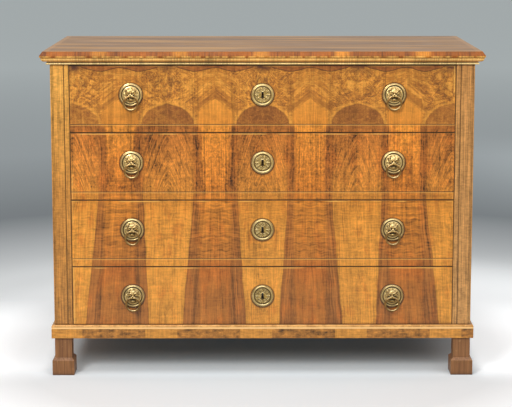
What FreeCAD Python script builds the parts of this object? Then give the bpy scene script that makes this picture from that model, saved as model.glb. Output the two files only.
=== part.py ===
# Commode: a chest of four long drawers in walnut, with brass ring pulls and locks.
#
# The frame of the part: X runs to the right, the front faces -Y and Z goes up from the floor.
# The origin lies on the floor under the middle of the top. All lengths are in millimetres.

import FreeCAD
import Part
import math
import os
import Sketcher
from FreeCAD import Placement, Rotation, Vector

# Counts

DRAWER_COUNT = 4
TAIL_COUNT = 4
BACK_BOARD_COUNT = 5

# Shares of the sizes that they follow

TAIL_WIDTH_SHARE = 0.66
TAIL_SLOPE_SHARE = 0.16

# Driving sizes: the name, the value and what it measures

SIZES = (
    ("body_width", 1150.0, "across the outer faces of the two stiles"),
    ("body_depth", 545.0, "from the face of the stiles to the back"),
    ("foot_height", 105.0, "from the floor to the underside of the plinth"),
    ("plinth_height", 37.0, "height of the plinth moulding"),
    ("opening_height", 164.0, "clear height of each drawer opening"),
    ("rail_thickness", 22.0, "height of the rails between the drawers"),
    ("cornice_height", 20.0, "height of the moulding under the top"),
    ("top_thickness", 16.0, "thickness of the top board"),
    ("top_overhang", 25.0, "how far the top stands out at the front and sides"),
    ("top_edge_height", 5.0, "upright part of the edge of the top, under the cant"),
    ("top_cant_depth", 8.0, "how far the canted edge leans in"),
    ("cornice_setback", 3.0, "how far the moulding stays behind the edge of the top"),
    ("cornice_fillet", 1.5, "flat band above the round of the moulding"),
    ("quirk_height", 2.5, "flat band between the round and the bead"),
    ("bead_diameter", 5.5, "height of the bead at the foot of the moulding"),
    ("bead_projection", 9.6, "how far the bead stands out from the stiles"),
    ("stile_width", 50.0, "width of the front stiles"),
    ("stile_thickness", 28.0, "thickness of the front stiles"),
    ("corner_round", 1.5, "rounded outer corner of the stiles"),
    ("edge_line_inset", 3.2, "from the outer edge of a stile to its thin line"),
    ("edge_line_width", 1.2, "width of the thin line"),
    ("edge_line_depth", 0.9, "depth of the thin line"),
    ("groove_inset", 11.5, "from the inner edge of a stile to its groove"),
    ("groove_width", 2.4, "width of the groove"),
    ("groove_depth", 1.8, "depth of the groove"),
    ("side_thickness", 20.0, "thickness of the side panels"),
    ("back_thickness", 12.0, "thickness of the back boards"),
    ("back_rebate", 10.0, "how far the back boards reach into the side panels"),
    ("board_gap", 0.6, "gap between two back boards"),
    ("rail_depth", 60.0, "front to back size of the drawer rails"),
    ("top_rail_depth", 70.0, "front to back size of the two top rails"),
    ("tenon_length", 15.0, "how far a rail reaches into a stile"),
    ("tenon_shoulder", 4.0, "step above and below a tenon"),
    ("tenon_setback", 7.0, "from the faces of a stile to a tenon"),
    ("runner_width", 55.0, "width of a drawer runner inside the carcass"),
    ("runner_tongue", 6.0, "how far a runner reaches into the side panel"),
    ("guide_height", 18.0, "height of the strip that guides a drawer side"),
    ("stop_length", 40.0, "length of a drawer stop"),
    ("stop_depth", 12.0, "front to back size of a drawer stop"),
    ("stop_height", 6.0, "height of a drawer stop"),
    ("stop_spacing", 600.0, "between the middles of the two stops of a drawer"),
    ("plinth_projection", 8.0, "how far the plinth stands out from the stiles"),
    ("plinth_round", 4.0, "rounded upper edge of the plinth"),
    ("base_rail_width", 75.0, "width of the base frame's rails, seen from above"),
    ("base_tenon_length", 25.0, "how far the rear base rail reaches into the side rails"),
    ("base_tenon_shoulder", 10.0, "step around the tenon of the rear base rail"),
    ("bottom_thickness", 15.0, "thickness of the bottom board"),
    ("bottom_ledge", 12.0, "how far the bottom board lies on the base frame"),
    ("corner_block_leg", 60.0, "leg of the glue blocks in the base frame's corners"),
    ("foot_block_width", 60.0, "width of the block at the end of a foot"),
    ("foot_block_height", 48.0, "height of that block with its cant"),
    ("foot_shaft_width", 46.0, "width of a foot above its block"),
    ("foot_tenon_diameter", 24.0, "round tenon on top of a foot"),
    ("foot_tenon_length", 25.0, "how far that tenon reaches into the base frame"),
    ("running_clearance", 0.4, "gap under, and behind, a closed drawer"),
    ("drawer_side_gap", 1.0, "gap between a drawer and each stile"),
    ("drawer_top_gap", 2.0, "gap above a drawer front"),
    ("drawer_rear_gap", 8.0, "gap between a drawer and the back boards"),
    ("front_thickness", 22.0, "thickness of a drawer front"),
    ("drawer_side_thickness", 11.0, "thickness of the drawer sides"),
    ("drawer_side_drop", 4.0, "how far the sides stay below the top of the front"),
    ("drawer_back_thickness", 11.0, "thickness of the drawer back"),
    ("drawer_back_drop", 6.0, "how far the back stays below the top of the sides"),
    ("drawer_bottom_thickness", 8.0, "thickness of the drawer bottom"),
    ("drawer_bottom_lift", 12.0, "from the lower edge of the sides to the drawer bottom"),
    ("drawer_groove_depth", 5.0, "how far the drawer bottom reaches into its grooves"),
    ("tail_lap", 6.0, "wood left in front of the dovetails"),
    ("lock_width", 64.0, "width of the lock case"),
    ("lock_thickness", 13.0, "thickness of the lock case"),
    ("lock_below_keyhole", 24.0, "from the middle of the keyhole to the foot of the lock"),
    ("bolt_width", 18.0, "width of the lock bolt"),
    ("bolt_thickness", 8.0, "thickness of the lock bolt"),
    ("bolt_length", 40.0, "length of the lock bolt"),
    ("bolt_throw", 9.0, "how far the key lifts the bolt"),
    ("bolt_clearance", 0.3, "gap around the bolt"),
    ("keyhole_height", 15.8, "height of the keyhole"),
    ("keyhole_top_diameter", 5.2, "round upper end of the keyhole"),
    ("keyhole_waist_width", 3.8, "keyhole where its round end meets its flaring part"),
    ("keyhole_foot_width", 7.0, "keyhole at its foot"),
    ("escutcheon_diameter", 60.0, "round plate about the keyhole"),
    ("escutcheon_thickness", 2.0, "thickness of that plate"),
    ("escutcheon_rim_width", 6.0, "width of its raised rim"),
    ("escutcheon_rim_rise", 2.5, "height of the rim above the plate"),
    ("pull_spacing", 714.0, "between the middles of the two pulls of a drawer"),
    ("plate_diameter", 62.0, "round plate of a pull"),
    ("plate_thickness", 2.0, "thickness of that plate"),
    ("plate_rim_width", 5.0, "width of its raised rim"),
    ("plate_rim_rise", 2.5, "height of the rim above the plate"),
    ("plate_recess_width", 3.5, "flat hollow between the rim and the dome"),
    ("dome_edge_rise", 1.0, "height of the dome's edge above the plate"),
    ("dome_rise", 3.4, "height of the dome above its edge"),
    ("muzzle_diameter", 15.0, "stub in the middle that holds the ring"),
    ("muzzle_wall", 1.6, "metal in front of the ring in that stub"),
    ("hinge_drop", 3.3, "from the middle of the plate down to the ring's pivot"),
    ("ring_diameter", 43.0, "outer size of a ring"),
    ("ring_wire_diameter", 5.6, "thickness of the ring's wire"),
    ("ring_clearance", 0.3, "gap around the wire in its hole"),
    ("ring_standoff", 0.8, "gap between the hanging ring and the dome"),
    ("stud_diameter", 5.0, "threaded stud behind a pull"),
    ("stud_clearance", 0.4, "how much wider the holes for the stud are"),
    ("stud_tail", 2.0, "end of the stud that stands out of its nut"),
    ("nut_width", 11.0, "side of the square nut"),
    ("nut_thickness", 4.0, "thickness of the nut"),
    ("cut_overrun", 5.0, "how far cutting shapes pass the wood that they cut"),
)

doc = FreeCAD.newDocument("commode")
sheet = doc.addObject("Spreadsheet::Sheet", "sizes")
for row, (alias, number, meaning) in enumerate(SIZES, start=1):
    sheet.set(f"A{row}", alias)
    sheet.set(f"B{row}", str(number))
    sheet.setAlias(f"B{row}", alias)
    sheet.set(f"C{row}", meaning)
doc.recompute()


# Lengths that know the sheet formula that they come from


class Size:
    """A length with its present value and the sheet formula that gives it."""

    def __init__(self, formula, value):
        self.formula = formula
        self.value = value

    def __add__(self, other):
        return Size(f"({self.formula} + {formula_of(other)})", self.value + value_of(other))

    def __radd__(self, other):
        return self + other

    def __sub__(self, other):
        return self + -other

    def __rsub__(self, other):
        return -self + other

    def __mul__(self, other):
        return Size(f"({self.formula} * {formula_of(other)})", self.value * value_of(other))

    def __rmul__(self, other):
        return self * other

    def __truediv__(self, other):
        return Size(f"({self.formula} / {formula_of(other)})", self.value / value_of(other))

    def __neg__(self):
        return Size(f"(-1 * {self.formula})", -self.value)


def formula_of(size):
    return size.formula if isinstance(size, Size) else f"({size})"


def value_of(size):
    return size.value if isinstance(size, Size) else size


def root(size):
    return Size(f"sqrt({size.formula})", math.sqrt(size.value))


def of(alias):
    """The driving size with this name."""
    return Size(f"sizes.{alias}", float(sheet.get(alias)))


def bind(thing, path, size):
    """Tie one property of a document object to the sheet."""
    thing.setExpression(path, formula_of(size))


def put(thing, x=0, y=0, z=0):
    """Tie the place of a document object to the sheet."""
    for axis, size in zip("xyz", (x, y, z)):
        bind(thing, f"Placement.Base.{axis}", size)


# Boards, cuts and copies


def board(name, low, high):
    """A squared board between two opposite corners."""
    box = doc.addObject("Part::Box", name)
    for side, start, end in zip(("Length", "Width", "Height"), low, high):
        bind(box, side, end - start)
    put(box, *low)
    return box


def round_bar(name, diameter, start, length):
    """A round bar that runs back, along +Y, from its start."""
    bar = doc.addObject("Part::Cylinder", name)
    bar.Placement = Placement(Vector(), Rotation(Vector(1, 0, 0), -90))
    bind(bar, "Radius", diameter / 2)
    bind(bar, "Height", length)
    put(bar, *start)
    return bar


def cut(name, stock, *tools):
    """The stock less each of the tools."""
    for count, tool in enumerate(tools, start=1):
        last = count == len(tools)
        result = doc.addObject("Part::Cut", name if last else f"{name}_cut_{count}")
        result.Base = stock
        result.Tool = tool
        stock = result
    return stock


def fuse(name, *pieces):
    """One piece of wood that is made of overlapping shapes."""
    whole = doc.addObject("Part::MultiFuse", name)
    whole.Shapes = list(pieces)
    whole.Refine = True
    return whole


def group(name, *pieces):
    """Separate solids that are kept together."""
    together = doc.addObject("Part::Compound", name)
    together.Links = list(pieces)
    return together


def mirrored(name, source):
    """The left-hand twin of a right-hand piece."""
    twin = doc.addObject("Part::Mirroring", name)
    twin.Source = source
    twin.Base = Vector(0, 0, 0)
    twin.Normal = Vector(1, 0, 0)
    return twin


def copied(name, source, x=0, y=0, z=0):
    """The same piece again at another place."""
    copy = group(name, source)
    put(copy, x, y, z)
    return copy


def across(sign, near, far):
    """The lower and upper x of a piece on the right (sign 1) or on the left (sign -1)."""
    return (near, far) if sign > 0 else (-far, -near)


# Sketches


class Arc:
    """A round stretch of an outline, up to its end point and about its centre."""

    def __init__(self, end, centre, clockwise):
        self.end = end
        self.centre = centre
        self.clockwise = clockwise


def flat(point):
    return Vector(value_of(point[0]), value_of(point[1]), 0)


def tie(sketch, geometry, position, direction, size):
    """Fix one coordinate of a point of a sketch."""
    if not isinstance(size, Size):
        axis_line = -2 if direction == "DistanceX" else -1
        sketch.addConstraint(Sketcher.Constraint("PointOnObject", geometry, position, axis_line))
        return
    rule = Sketcher.Constraint(direction, -1, 1, geometry, position, size.value)
    number = sketch.addConstraint(rule)
    bind(sketch, f"Constraints[{number}]", size)


def draw_outline(sketch, steps):
    """Draw a closed outline of lines and arcs, each corner of it tied to the sheet."""
    ends = [step.end if isinstance(step, Arc) else step for step in steps]
    starts = ends[-1:] + ends[:-1]
    drawn = []
    for start, step, end in zip(starts, steps, ends):
        if isinstance(step, Arc):
            centre = flat(step.centre)
            first, last = (end, start) if step.clockwise else (start, end)
            spoke = flat(first) - centre
            other_spoke = flat(last) - centre
            circle = Part.Circle(centre, Vector(0, 0, 1), spoke.Length)
            from_angle = math.atan2(spoke.y, spoke.x)
            to_angle = math.atan2(other_spoke.y, other_spoke.x)
            shape = Part.ArcOfCircle(circle, from_angle, to_angle)
            positions = (2, 1) if step.clockwise else (1, 2)
        else:
            shape = Part.LineSegment(flat(start), flat(end))
            positions = (1, 2)
        drawn.append((sketch.addGeometry(shape, False), *positions))
    following = drawn[1:] + drawn[:1]
    for (line, _, tail), (next_line, head, _) in zip(drawn, following):
        sketch.addConstraint(Sketcher.Constraint("Coincident", line, tail, next_line, head))
    for (line, head, _), start, step, end in zip(drawn, starts, steps, ends):
        tie(sketch, line, head, "DistanceX", start[0])
        tie(sketch, line, head, "DistanceY", start[1])
        if isinstance(step, Arc):
            chord = flat(end) - flat(start)
            steep = abs(chord.x) < abs(chord.y)
            side = 0 if steep else 1
            tie(sketch, line, 3, "DistanceX" if steep else "DistanceY", step.centre[side])


def draw_circle(sketch, centre, diameter):
    circle = Part.Circle(flat(centre), Vector(0, 0, 1), diameter.value / 2)
    line = sketch.addGeometry(circle, False)
    number = sketch.addConstraint(Sketcher.Constraint("Diameter", line, diameter.value))
    bind(sketch, f"Constraints[{number}]", diameter)
    tie(sketch, line, 3, "DistanceX", centre[0])
    tie(sketch, line, 3, "DistanceY", centre[1])


def new_body(name):
    return doc.addObject("PartDesign::Body", name)


def new_sketch(body, plane_role, name, *outlines):
    """A sketch on one of the body's own origin planes."""
    sketch = body.newObject("Sketcher::SketchObject", f"{body.Name}_{name}")
    plane = next(item for item in body.Origin.OriginFeatures if item.Role == plane_role)
    sketch.AttachmentSupport = [(plane, "")]
    sketch.MapMode = "FlatFace"
    for steps in outlines:
        draw_outline(sketch, steps)
    return sketch


def pad(body, sketch, length, midplane=False, backwards=False):
    feature = body.newObject("PartDesign::Pad", f"{sketch.Name}_pad")
    feature.Profile = sketch
    feature.Midplane = midplane
    feature.Reversed = backwards
    bind(feature, "Length", length)
    doc.recompute()
    return feature


def pocket_through(body, sketch):
    """Cut a sketch through the whole body, both ways from its plane."""
    before = body.Shape.Volume
    feature = body.newObject("PartDesign::Pocket", f"{sketch.Name}_pocket")
    feature.Profile = sketch
    feature.Type = "ThroughAll"
    feature.Midplane = True
    doc.recompute()
    if not feature.Shape.Volume < before:
        raise RuntimeError(f"{feature.Name} cuts nothing")
    return feature


def revolve(body, sketch):
    """Turn a sketch about the upright axis of its own plane."""
    feature = body.newObject("PartDesign::Revolution", f"{sketch.Name}_revolution")
    feature.Profile = sketch
    feature.ReferenceAxis = (sketch, ["V_Axis"])
    feature.Angle = 360
    doc.recompute()
    return feature


def raised_rim(outer, width, floor, rise, sign):
    """The two steps of a section that go over a rounded rim, from its outer edge to its inner one."""
    half = width / 2
    radius = (half * half + rise * rise) / (rise * 2)
    middle = outer - half
    centre = (middle, sign * (floor + rise - radius))
    return (outer, sign * floor), Arc((outer - width, sign * floor), centre, sign < 0)


# Main places of the carcass

half_width = of("body_width") / 2
back_y = (of("body_depth") + of("top_overhang")) / 2
front_y = back_y - of("body_depth")
stile_inner_x = half_width - of("stile_width")
stile_back_y = front_y + of("stile_thickness")
side_inner_x = half_width - of("side_thickness")
boards_front_y = back_y - of("back_thickness")
rail_back_y = front_y + of("rail_depth")
base_top_z = of("foot_height") + of("plinth_height")
level_step = of("opening_height") + of("rail_thickness")
openings_top_z = base_top_z + level_step * DRAWER_COUNT - of("rail_thickness")
carcass_top_z = openings_top_z + of("cornice_height")
overrun = of("cut_overrun")

# Main places of one drawer, measured from the lower edge of its front face

drawer_half_width = stile_inner_x - of("drawer_side_gap")
drawer_length = of("body_depth") - of("back_thickness") - of("drawer_rear_gap")
front_height = of("opening_height") - of("running_clearance") - of("drawer_top_gap")
drawer_middle_z = front_height / 2
drawer_side_height = front_height - of("drawer_side_drop")
pull_x = of("pull_spacing") / 2

# Places of the lock in the drawer front

lock_front_y = of("front_thickness") - of("lock_thickness")
bolt_half_width = of("bolt_width") / 2
bolt_front_y = lock_front_y + (of("lock_thickness") - of("bolt_thickness")) / 2
bolt_back_y = bolt_front_y + of("bolt_thickness")
bolt_top_z = front_height - of("bolt_clearance")
bolt_foot_z = bolt_top_z - of("bolt_length")

# The pivot of a ring in its plate

wire_radius = of("ring_wire_diameter") / 2
ring_radius = of("ring_diameter") / 2 - wire_radius
dome_top = of("plate_thickness") + of("dome_edge_rise") + of("dome_rise")
hinge_depth = dome_top + of("ring_standoff") + wire_radius
muzzle_radius = of("muzzle_diameter") / 2
ring_sag = ring_radius - root(ring_radius * ring_radius - muzzle_radius * muzzle_radius)
ring_hole_radius = wire_radius + ring_sag + of("ring_clearance")
muzzle_projection = hinge_depth + ring_hole_radius + of("muzzle_wall")

nodes = {}


def node(label, *pieces):
    """Give a sub-part its name."""
    piece = pieces[0] if len(pieces) == 1 else group(label, *pieces)
    piece.Label = label
    nodes[label] = piece


# Top board with a canted edge at the front and sides


def make_top_board():
    body = new_body("top_board_body")
    edge_x = half_width + of("top_overhang")
    edge_y = front_y - of("top_overhang")
    thickness = of("top_thickness")
    edge = of("top_edge_height")
    cant = of("top_cant_depth")
    plan = [(-edge_x, edge_y), (edge_x, edge_y), (edge_x, back_y), (-edge_x, back_y)]
    pad(body, new_sketch(body, "XY_Plane", "plan", plan), thickness)

    def cant_outline(face, sign):
        inner = face - sign * cant
        outer = face + sign * overrun
        above = thickness + overrun
        return [(face, edge), (outer, edge), (outer, above), (inner, above), (inner, thickness)]

    ends = new_sketch(body, "XZ_Plane", "ends", cant_outline(edge_x, 1), cant_outline(-edge_x, -1))
    pocket_through(body, ends)
    pocket_through(body, new_sketch(body, "YZ_Plane", "front", cant_outline(edge_y, -1)))
    put(body, z=carcass_top_z)
    node("top_board", body)


# Cornice: a bead and a quarter round under the top, mitred at the front corners


def cornice_section(sign):
    """The section of the moulding, with sign 1 where it stands out to the right of its sketch."""
    projection = of("top_overhang") - of("cornice_setback")
    bead_x = of("bead_projection") - of("bead_diameter") / 2
    round_foot = of("bead_diameter") + of("quirk_height")
    round_top = of("cornice_height") - of("cornice_fillet")
    round_x = projection - (round_top - round_foot)
    clockwise = sign < 0
    bead_end = (sign * bead_x, of("bead_diameter"))
    round_end = (sign * projection, round_top)
    return [
        (sign * bead_x, 0),
        Arc(bead_end, (sign * bead_x, of("bead_diameter") / 2), clockwise),
        (sign * bead_x, round_foot),
        (sign * round_x, round_foot),
        Arc(round_end, (sign * round_x, round_top), clockwise),
        (sign * projection, of("cornice_height")),
        (0, of("cornice_height")),
        (0, 0),
    ]


def make_cornice():
    projection = of("top_overhang") - of("cornice_setback")
    far = projection + overrun

    front = new_body("cornice_front")
    section = new_sketch(front, "YZ_Plane", "section", cornice_section(-1))
    pad(front, section, (half_width + projection) * 2, midplane=True)

    def front_mitre(sign):
        inner = sign * (half_width - overrun)
        outer = sign * (half_width + far)
        return [(inner, overrun), (outer, overrun), (outer, -far)]

    pocket_through(front, new_sketch(front, "XY_Plane", "mitres", front_mitre(1), front_mitre(-1)))
    put(front, y=front_y, z=openings_top_z)

    right = new_body("cornice_right")
    section = new_sketch(right, "XZ_Plane", "section", cornice_section(1))
    pad(right, section, of("body_depth") + projection)
    corner = -of("body_depth")
    mitre = [(-overrun, corner + overrun), (-overrun, corner - far), (far, corner - far)]
    pocket_through(right, new_sketch(right, "XY_Plane", "mitre", mitre))
    put(right, half_width, back_y, openings_top_z)

    node("cornice", front, right, mirrored("cornice_left", right))


# Rails between the stiles, with stub tenons and a slot for the lock bolt below them


def rail(name, depth, foot, thickness):
    shoulder = of("tenon_shoulder")
    setback = of("tenon_setback")
    tenon_end = stile_inner_x + of("tenon_length")
    head = foot + thickness
    bar = board(f"{name}_bar", (-stile_inner_x, front_y, foot), (stile_inner_x, front_y + depth, head))
    tenons = board(
        f"{name}_tenons",
        (-tenon_end, front_y + setback, foot + shoulder),
        (tenon_end, stile_back_y - setback, head - shoulder),
    )
    gap = of("bolt_clearance")
    raised_top = of("running_clearance") + bolt_top_z + of("bolt_throw") + gap
    slot = board(
        f"{name}_slot",
        (-bolt_half_width - gap, front_y + bolt_front_y - gap, foot - overrun),
        (bolt_half_width + gap, front_y + bolt_back_y + gap, foot - of("opening_height") + raised_top),
    )
    return cut(name, fuse(f"{name}_whole", bar, tenons), slot)


def level_z(level):
    """The floor of a drawer opening, counted from the lowest one."""
    return base_top_z + level_step * level


def make_rails():
    rails = []
    for level in range(DRAWER_COUNT - 1):
        foot = level_z(level) + of("opening_height")
        rails.append(rail(f"drawer_rail_{level + 1}", of("rail_depth"), foot, of("rail_thickness")))
    node("drawer_rails", *rails)

    front = rail("top_rail_front", of("top_rail_depth"), openings_top_z, of("cornice_height"))
    rear_bar = board(
        "top_rail_rear_bar",
        (-side_inner_x, boards_front_y - of("top_rail_depth"), openings_top_z),
        (side_inner_x, boards_front_y, carcass_top_z),
    )
    tongue_x = side_inner_x + of("runner_tongue")
    rear_tongues = board(
        "top_rail_rear_tongues",
        (-tongue_x, boards_front_y - of("top_rail_depth"), openings_top_z + of("tenon_shoulder")),
        (tongue_x, boards_front_y, carcass_top_z - of("tenon_shoulder")),
    )
    rear = fuse("top_rail_rear", rear_bar, rear_tongues)
    node("top_rails", front, rear)
    return rails + [front], rear


# Stiles with a thin line near the outer edge and a groove near the inner one


def make_stiles(rails):
    body = new_body("stile_blank")
    line_outer = half_width - of("edge_line_inset")
    line_inner = line_outer - of("edge_line_width")
    line_floor = front_y + of("edge_line_depth")
    groove_inner = stile_inner_x + of("groove_inset")
    groove_outer = groove_inner + of("groove_width")
    groove_floor = front_y + of("groove_depth")
    rounding = of("corner_round")
    corner_end = (half_width - rounding, front_y)
    corner_centre = (half_width - rounding, front_y + rounding)
    section = [
        (stile_inner_x, stile_back_y),
        (half_width, stile_back_y),
        (half_width, front_y + rounding),
        Arc(corner_end, corner_centre, True),
        (line_outer, front_y),
        (line_outer, line_floor),
        (line_inner, line_floor),
        (line_inner, front_y),
        (groove_outer, front_y),
        (groove_outer, groove_floor),
        (groove_inner, groove_floor),
        (groove_inner, front_y),
        (stile_inner_x, front_y),
    ]
    pad(body, new_sketch(body, "XY_Plane", "section", section), carcass_top_z - base_top_z)
    put(body, z=base_top_z)
    node("stile_right", cut("stile_right", body, *rails))
    node("stile_left", cut("stile_left", mirrored("stile_left_blank", body), *rails))


# Runners and guides that carry and lead the drawers


def make_runners():
    runners = {1: [], -1: []}
    guides = []
    for sign, hand in ((1, "right"), (-1, "left")):
        tongue = across(sign, side_inner_x - of("runner_width"), side_inner_x + of("runner_tongue"))
        lane = across(sign, stile_inner_x, side_inner_x)
        for level in range(DRAWER_COUNT):
            floor = level_z(level)
            if level:
                low = (tongue[0], rail_back_y, floor - of("rail_thickness"))
                high = (tongue[1], boards_front_y, floor)
                runners[sign].append(board(f"runner_{hand}_{level}", low, high))
            low = (lane[0], stile_back_y, floor)
            high = (lane[1], boards_front_y, floor + of("guide_height"))
            guides.append(board(f"guide_{hand}_{level}", low, high))
    node("drawer_runners", *runners[1], *runners[-1])
    node("drawer_guides", *guides)
    return runners


# Stops that meet the back of the drawer fronts


def make_stops():
    stops = []
    face = front_y + of("front_thickness") + of("running_clearance")
    half_length = of("stop_length") / 2
    for sign, hand in ((1, "right"), (-1, "left")):
        middle = sign * (of("stop_spacing") / 2)
        for level in range(DRAWER_COUNT):
            floor = level_z(level)
            low = (middle - half_length, face, floor)
            high = (middle + half_length, face + of("stop_depth"), floor + of("stop_height"))
            stops.append(board(f"stop_{hand}_{level}", low, high))
    node("drawer_stops", *stops)


# Back boards, and the side panels that take their edges


def make_back_boards():
    width = (side_inner_x + of("back_rebate")) * 2
    gaps = of("board_gap") * (BACK_BOARD_COUNT - 1)
    board_width = (width - gaps) / BACK_BOARD_COUNT
    boards = []
    for number in range(BACK_BOARD_COUNT):
        left = -width / 2 + (board_width + of("board_gap")) * number
        low = (left, boards_front_y, base_top_z)
        high = (left + board_width, back_y, carcass_top_z)
        boards.append(board(f"back_board_{number + 1}", low, high))
    node("back_boards", *boards)
    return boards


def make_side_panels(runners, rear_rail, boards):
    for sign, hand, end_board in ((1, "right", boards[-1]), (-1, "left", boards[0])):
        low_x, high_x = across(sign, side_inner_x, half_width)
        low = (low_x, stile_back_y, base_top_z)
        high = (high_x, back_y, carcass_top_z)
        blank = board(f"side_blank_{hand}", low, high)
        name = f"side_panel_{hand}"
        node(name, cut(name, blank, *runners[sign], rear_rail, end_board))


# Base: bottom board, mitred frame with a rounded edge, glue blocks and feet

base_edge_x = half_width + of("plinth_projection")
base_edge_y = front_y - of("plinth_projection")
base_inner_x = base_edge_x - of("base_rail_width")
base_inner_front_y = base_edge_y + of("base_rail_width")
base_inner_back_y = back_y - of("base_rail_width")
foot_right_x = half_width - of("foot_shaft_width") / 2
foot_front_y = front_y + of("foot_shaft_width") / 2
foot_back_y = back_y - of("foot_block_width") / 2


def make_bottom_board():
    ledge = of("bottom_ledge")
    low = (-base_inner_x - ledge, base_inner_front_y - ledge, base_top_z - of("bottom_thickness"))
    high = (base_inner_x + ledge, base_inner_back_y + ledge, base_top_z)
    bottom = board("bottom_board", low, high)
    node("bottom_board", bottom)
    return bottom


def base_section(sign):
    """The section of a base rail, with sign 1 where its inner side lies to the right of its sketch."""
    width = sign * of("base_rail_width")
    height = of("plinth_height")
    rounding = of("plinth_round")
    shoulder = height - rounding
    edge = Arc((0, shoulder), (sign * rounding, shoulder), sign < 0)
    return [(0, 0), (width, 0), (width, height), (sign * rounding, height), edge]


def make_feet():
    body = new_body("foot")
    half_block = of("foot_block_width") / 2
    half_shaft = of("foot_shaft_width") / 2
    cant = half_block - half_shaft

    def square(half):
        return [(-half, -half), (half, -half), (half, half), (-half, half)]

    block_plan = new_sketch(body, "XY_Plane", "block", square(half_block))
    block = pad(body, block_plan, of("foot_block_height"))
    half_way_up = of("foot_block_height").value / 2
    top_edges = [
        f"Edge{number}"
        for number, edge in enumerate(block.Shape.Edges, start=1)
        if min(point.Point.z for point in edge.Vertexes) > half_way_up
    ]
    chamfer = body.newObject("PartDesign::Chamfer", "foot_cant")
    chamfer.Base = (block, top_edges)
    bind(chamfer, "Size", cant)
    doc.recompute()
    pad(body, new_sketch(body, "XY_Plane", "shaft", square(half_shaft)), of("foot_height"))
    tenon = new_sketch(body, "XY_Plane", "tenon")
    draw_circle(tenon, (0, 0), of("foot_tenon_diameter"))
    pad(body, tenon, of("foot_height") + of("foot_tenon_length"))

    feet = []
    for sign, hand in ((1, "right"), (-1, "left")):
        for y, end in ((foot_front_y, "front"), (foot_back_y, "back")):
            feet.append(copied(f"foot_{end}_{hand}", body, sign * foot_right_x, y))
    node("feet", *feet)
    return feet


def make_base_frame(bottom, feet):
    width = of("base_rail_width")
    near = -overrun
    far = width + overrun

    front = new_body("base_front_blank")
    section = new_sketch(front, "YZ_Plane", "section", base_section(1))
    pad(front, section, base_edge_x * 2, midplane=True)

    def front_mitre(sign):
        outer = sign * (base_edge_x + overrun)
        inner = sign * (base_edge_x - far)
        return [(outer, near), (outer, far), (inner, far)]

    pocket_through(front, new_sketch(front, "XY_Plane", "mitres", front_mitre(1), front_mitre(-1)))
    put(front, y=base_edge_y, z=of("foot_height"))

    right = new_body("base_right_blank")
    section = new_sketch(right, "XZ_Plane", "section", base_section(-1))
    length = back_y - base_edge_y
    pad(right, section, length)
    mitre = [(overrun, near - length), (-far, near - length), (-far, far - length)]
    pocket_through(right, new_sketch(right, "XY_Plane", "mitre", mitre))
    put(right, base_edge_x, back_y, of("foot_height"))
    left = mirrored("base_left_blank", right)

    shoulder = of("base_tenon_shoulder")
    tenon_x = base_inner_x + of("base_tenon_length")
    rear_bar = board(
        "base_rear_bar",
        (-base_inner_x, base_inner_back_y, of("foot_height")),
        (base_inner_x, back_y, base_top_z),
    )
    rear_tenons = board(
        "base_rear_tenons",
        (-tenon_x, base_inner_back_y + shoulder, of("foot_height") + shoulder),
        (tenon_x, foot_back_y - of("foot_tenon_diameter") / 2 - of("tenon_shoulder"), base_top_z - shoulder),
    )
    rear = fuse("base_rear_blank", rear_bar, rear_tenons)

    rear_rail = cut("base_rear", rear, bottom)
    front_rail = cut("base_front", front, bottom, *feet)
    right_rail = cut("base_right", right, bottom, rear, *feet)
    left_rail = cut("base_left", left, bottom, rear, *feet)
    node("base_frame", front_rail, right_rail, left_rail, rear_rail)


def make_corner_blocks():
    leg = of("corner_block_leg")
    blocks = []
    for sign, hand in ((1, "right"), (-1, "left")):
        for y, inward, end in ((base_inner_front_y, 1, "front"), (base_inner_back_y, -1, "back")):
            corner_x = sign * base_inner_x
            body = new_body(f"corner_block_{end}_{hand}")
            outline = [(corner_x, y), (corner_x - sign * leg, y), (corner_x, y + inward * leg)]
            sketch = new_sketch(body, "XY_Plane", "plan", outline)
            pad(body, sketch, of("plinth_height") - of("bottom_thickness"))
            put(body, z=of("foot_height"))
            blocks.append(body)
    node("corner_blocks", *blocks)


# Drawer box: dovetailed sides, front, back and bottom


def make_drawer_side():
    """The right-hand side, with tails that the front and the back are cut to fit."""
    body = new_body("drawer_side_blank")
    height = drawer_side_height
    pitch = height / TAIL_COUNT

    def tails(shoulder, reach):
        """Corners of the tails, from the lowest up, from their shoulder line to their wide ends."""
        end = shoulder + reach
        wide = pitch * TAIL_WIDTH_SHARE / 2
        lean = reach * TAIL_SLOPE_SHARE
        narrow = wide + lean if reach.value < 0 else wide - lean
        corners = []
        for number in range(TAIL_COUNT):
            middle = pitch * number + pitch / 2
            corners += [
                (shoulder, middle - narrow),
                (end, middle - wide),
                (end, middle + wide),
                (shoulder, middle + narrow),
            ]
        return corners

    front_shoulder = of("front_thickness")
    back_shoulder = drawer_length - of("drawer_back_thickness")
    outline = [(front_shoulder, 0)]
    outline += tails(front_shoulder, of("tail_lap") - of("front_thickness"))
    outline += [(front_shoulder, height), (back_shoulder, height)]
    outline += tails(back_shoulder, of("drawer_back_thickness"))[::-1]
    outline += [(back_shoulder, 0)]
    sketch = new_sketch(body, "YZ_Plane", "outline", outline)
    pad(body, sketch, of("drawer_side_thickness"))
    put(body, x=drawer_half_width - of("drawer_side_thickness"))
    return body


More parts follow.
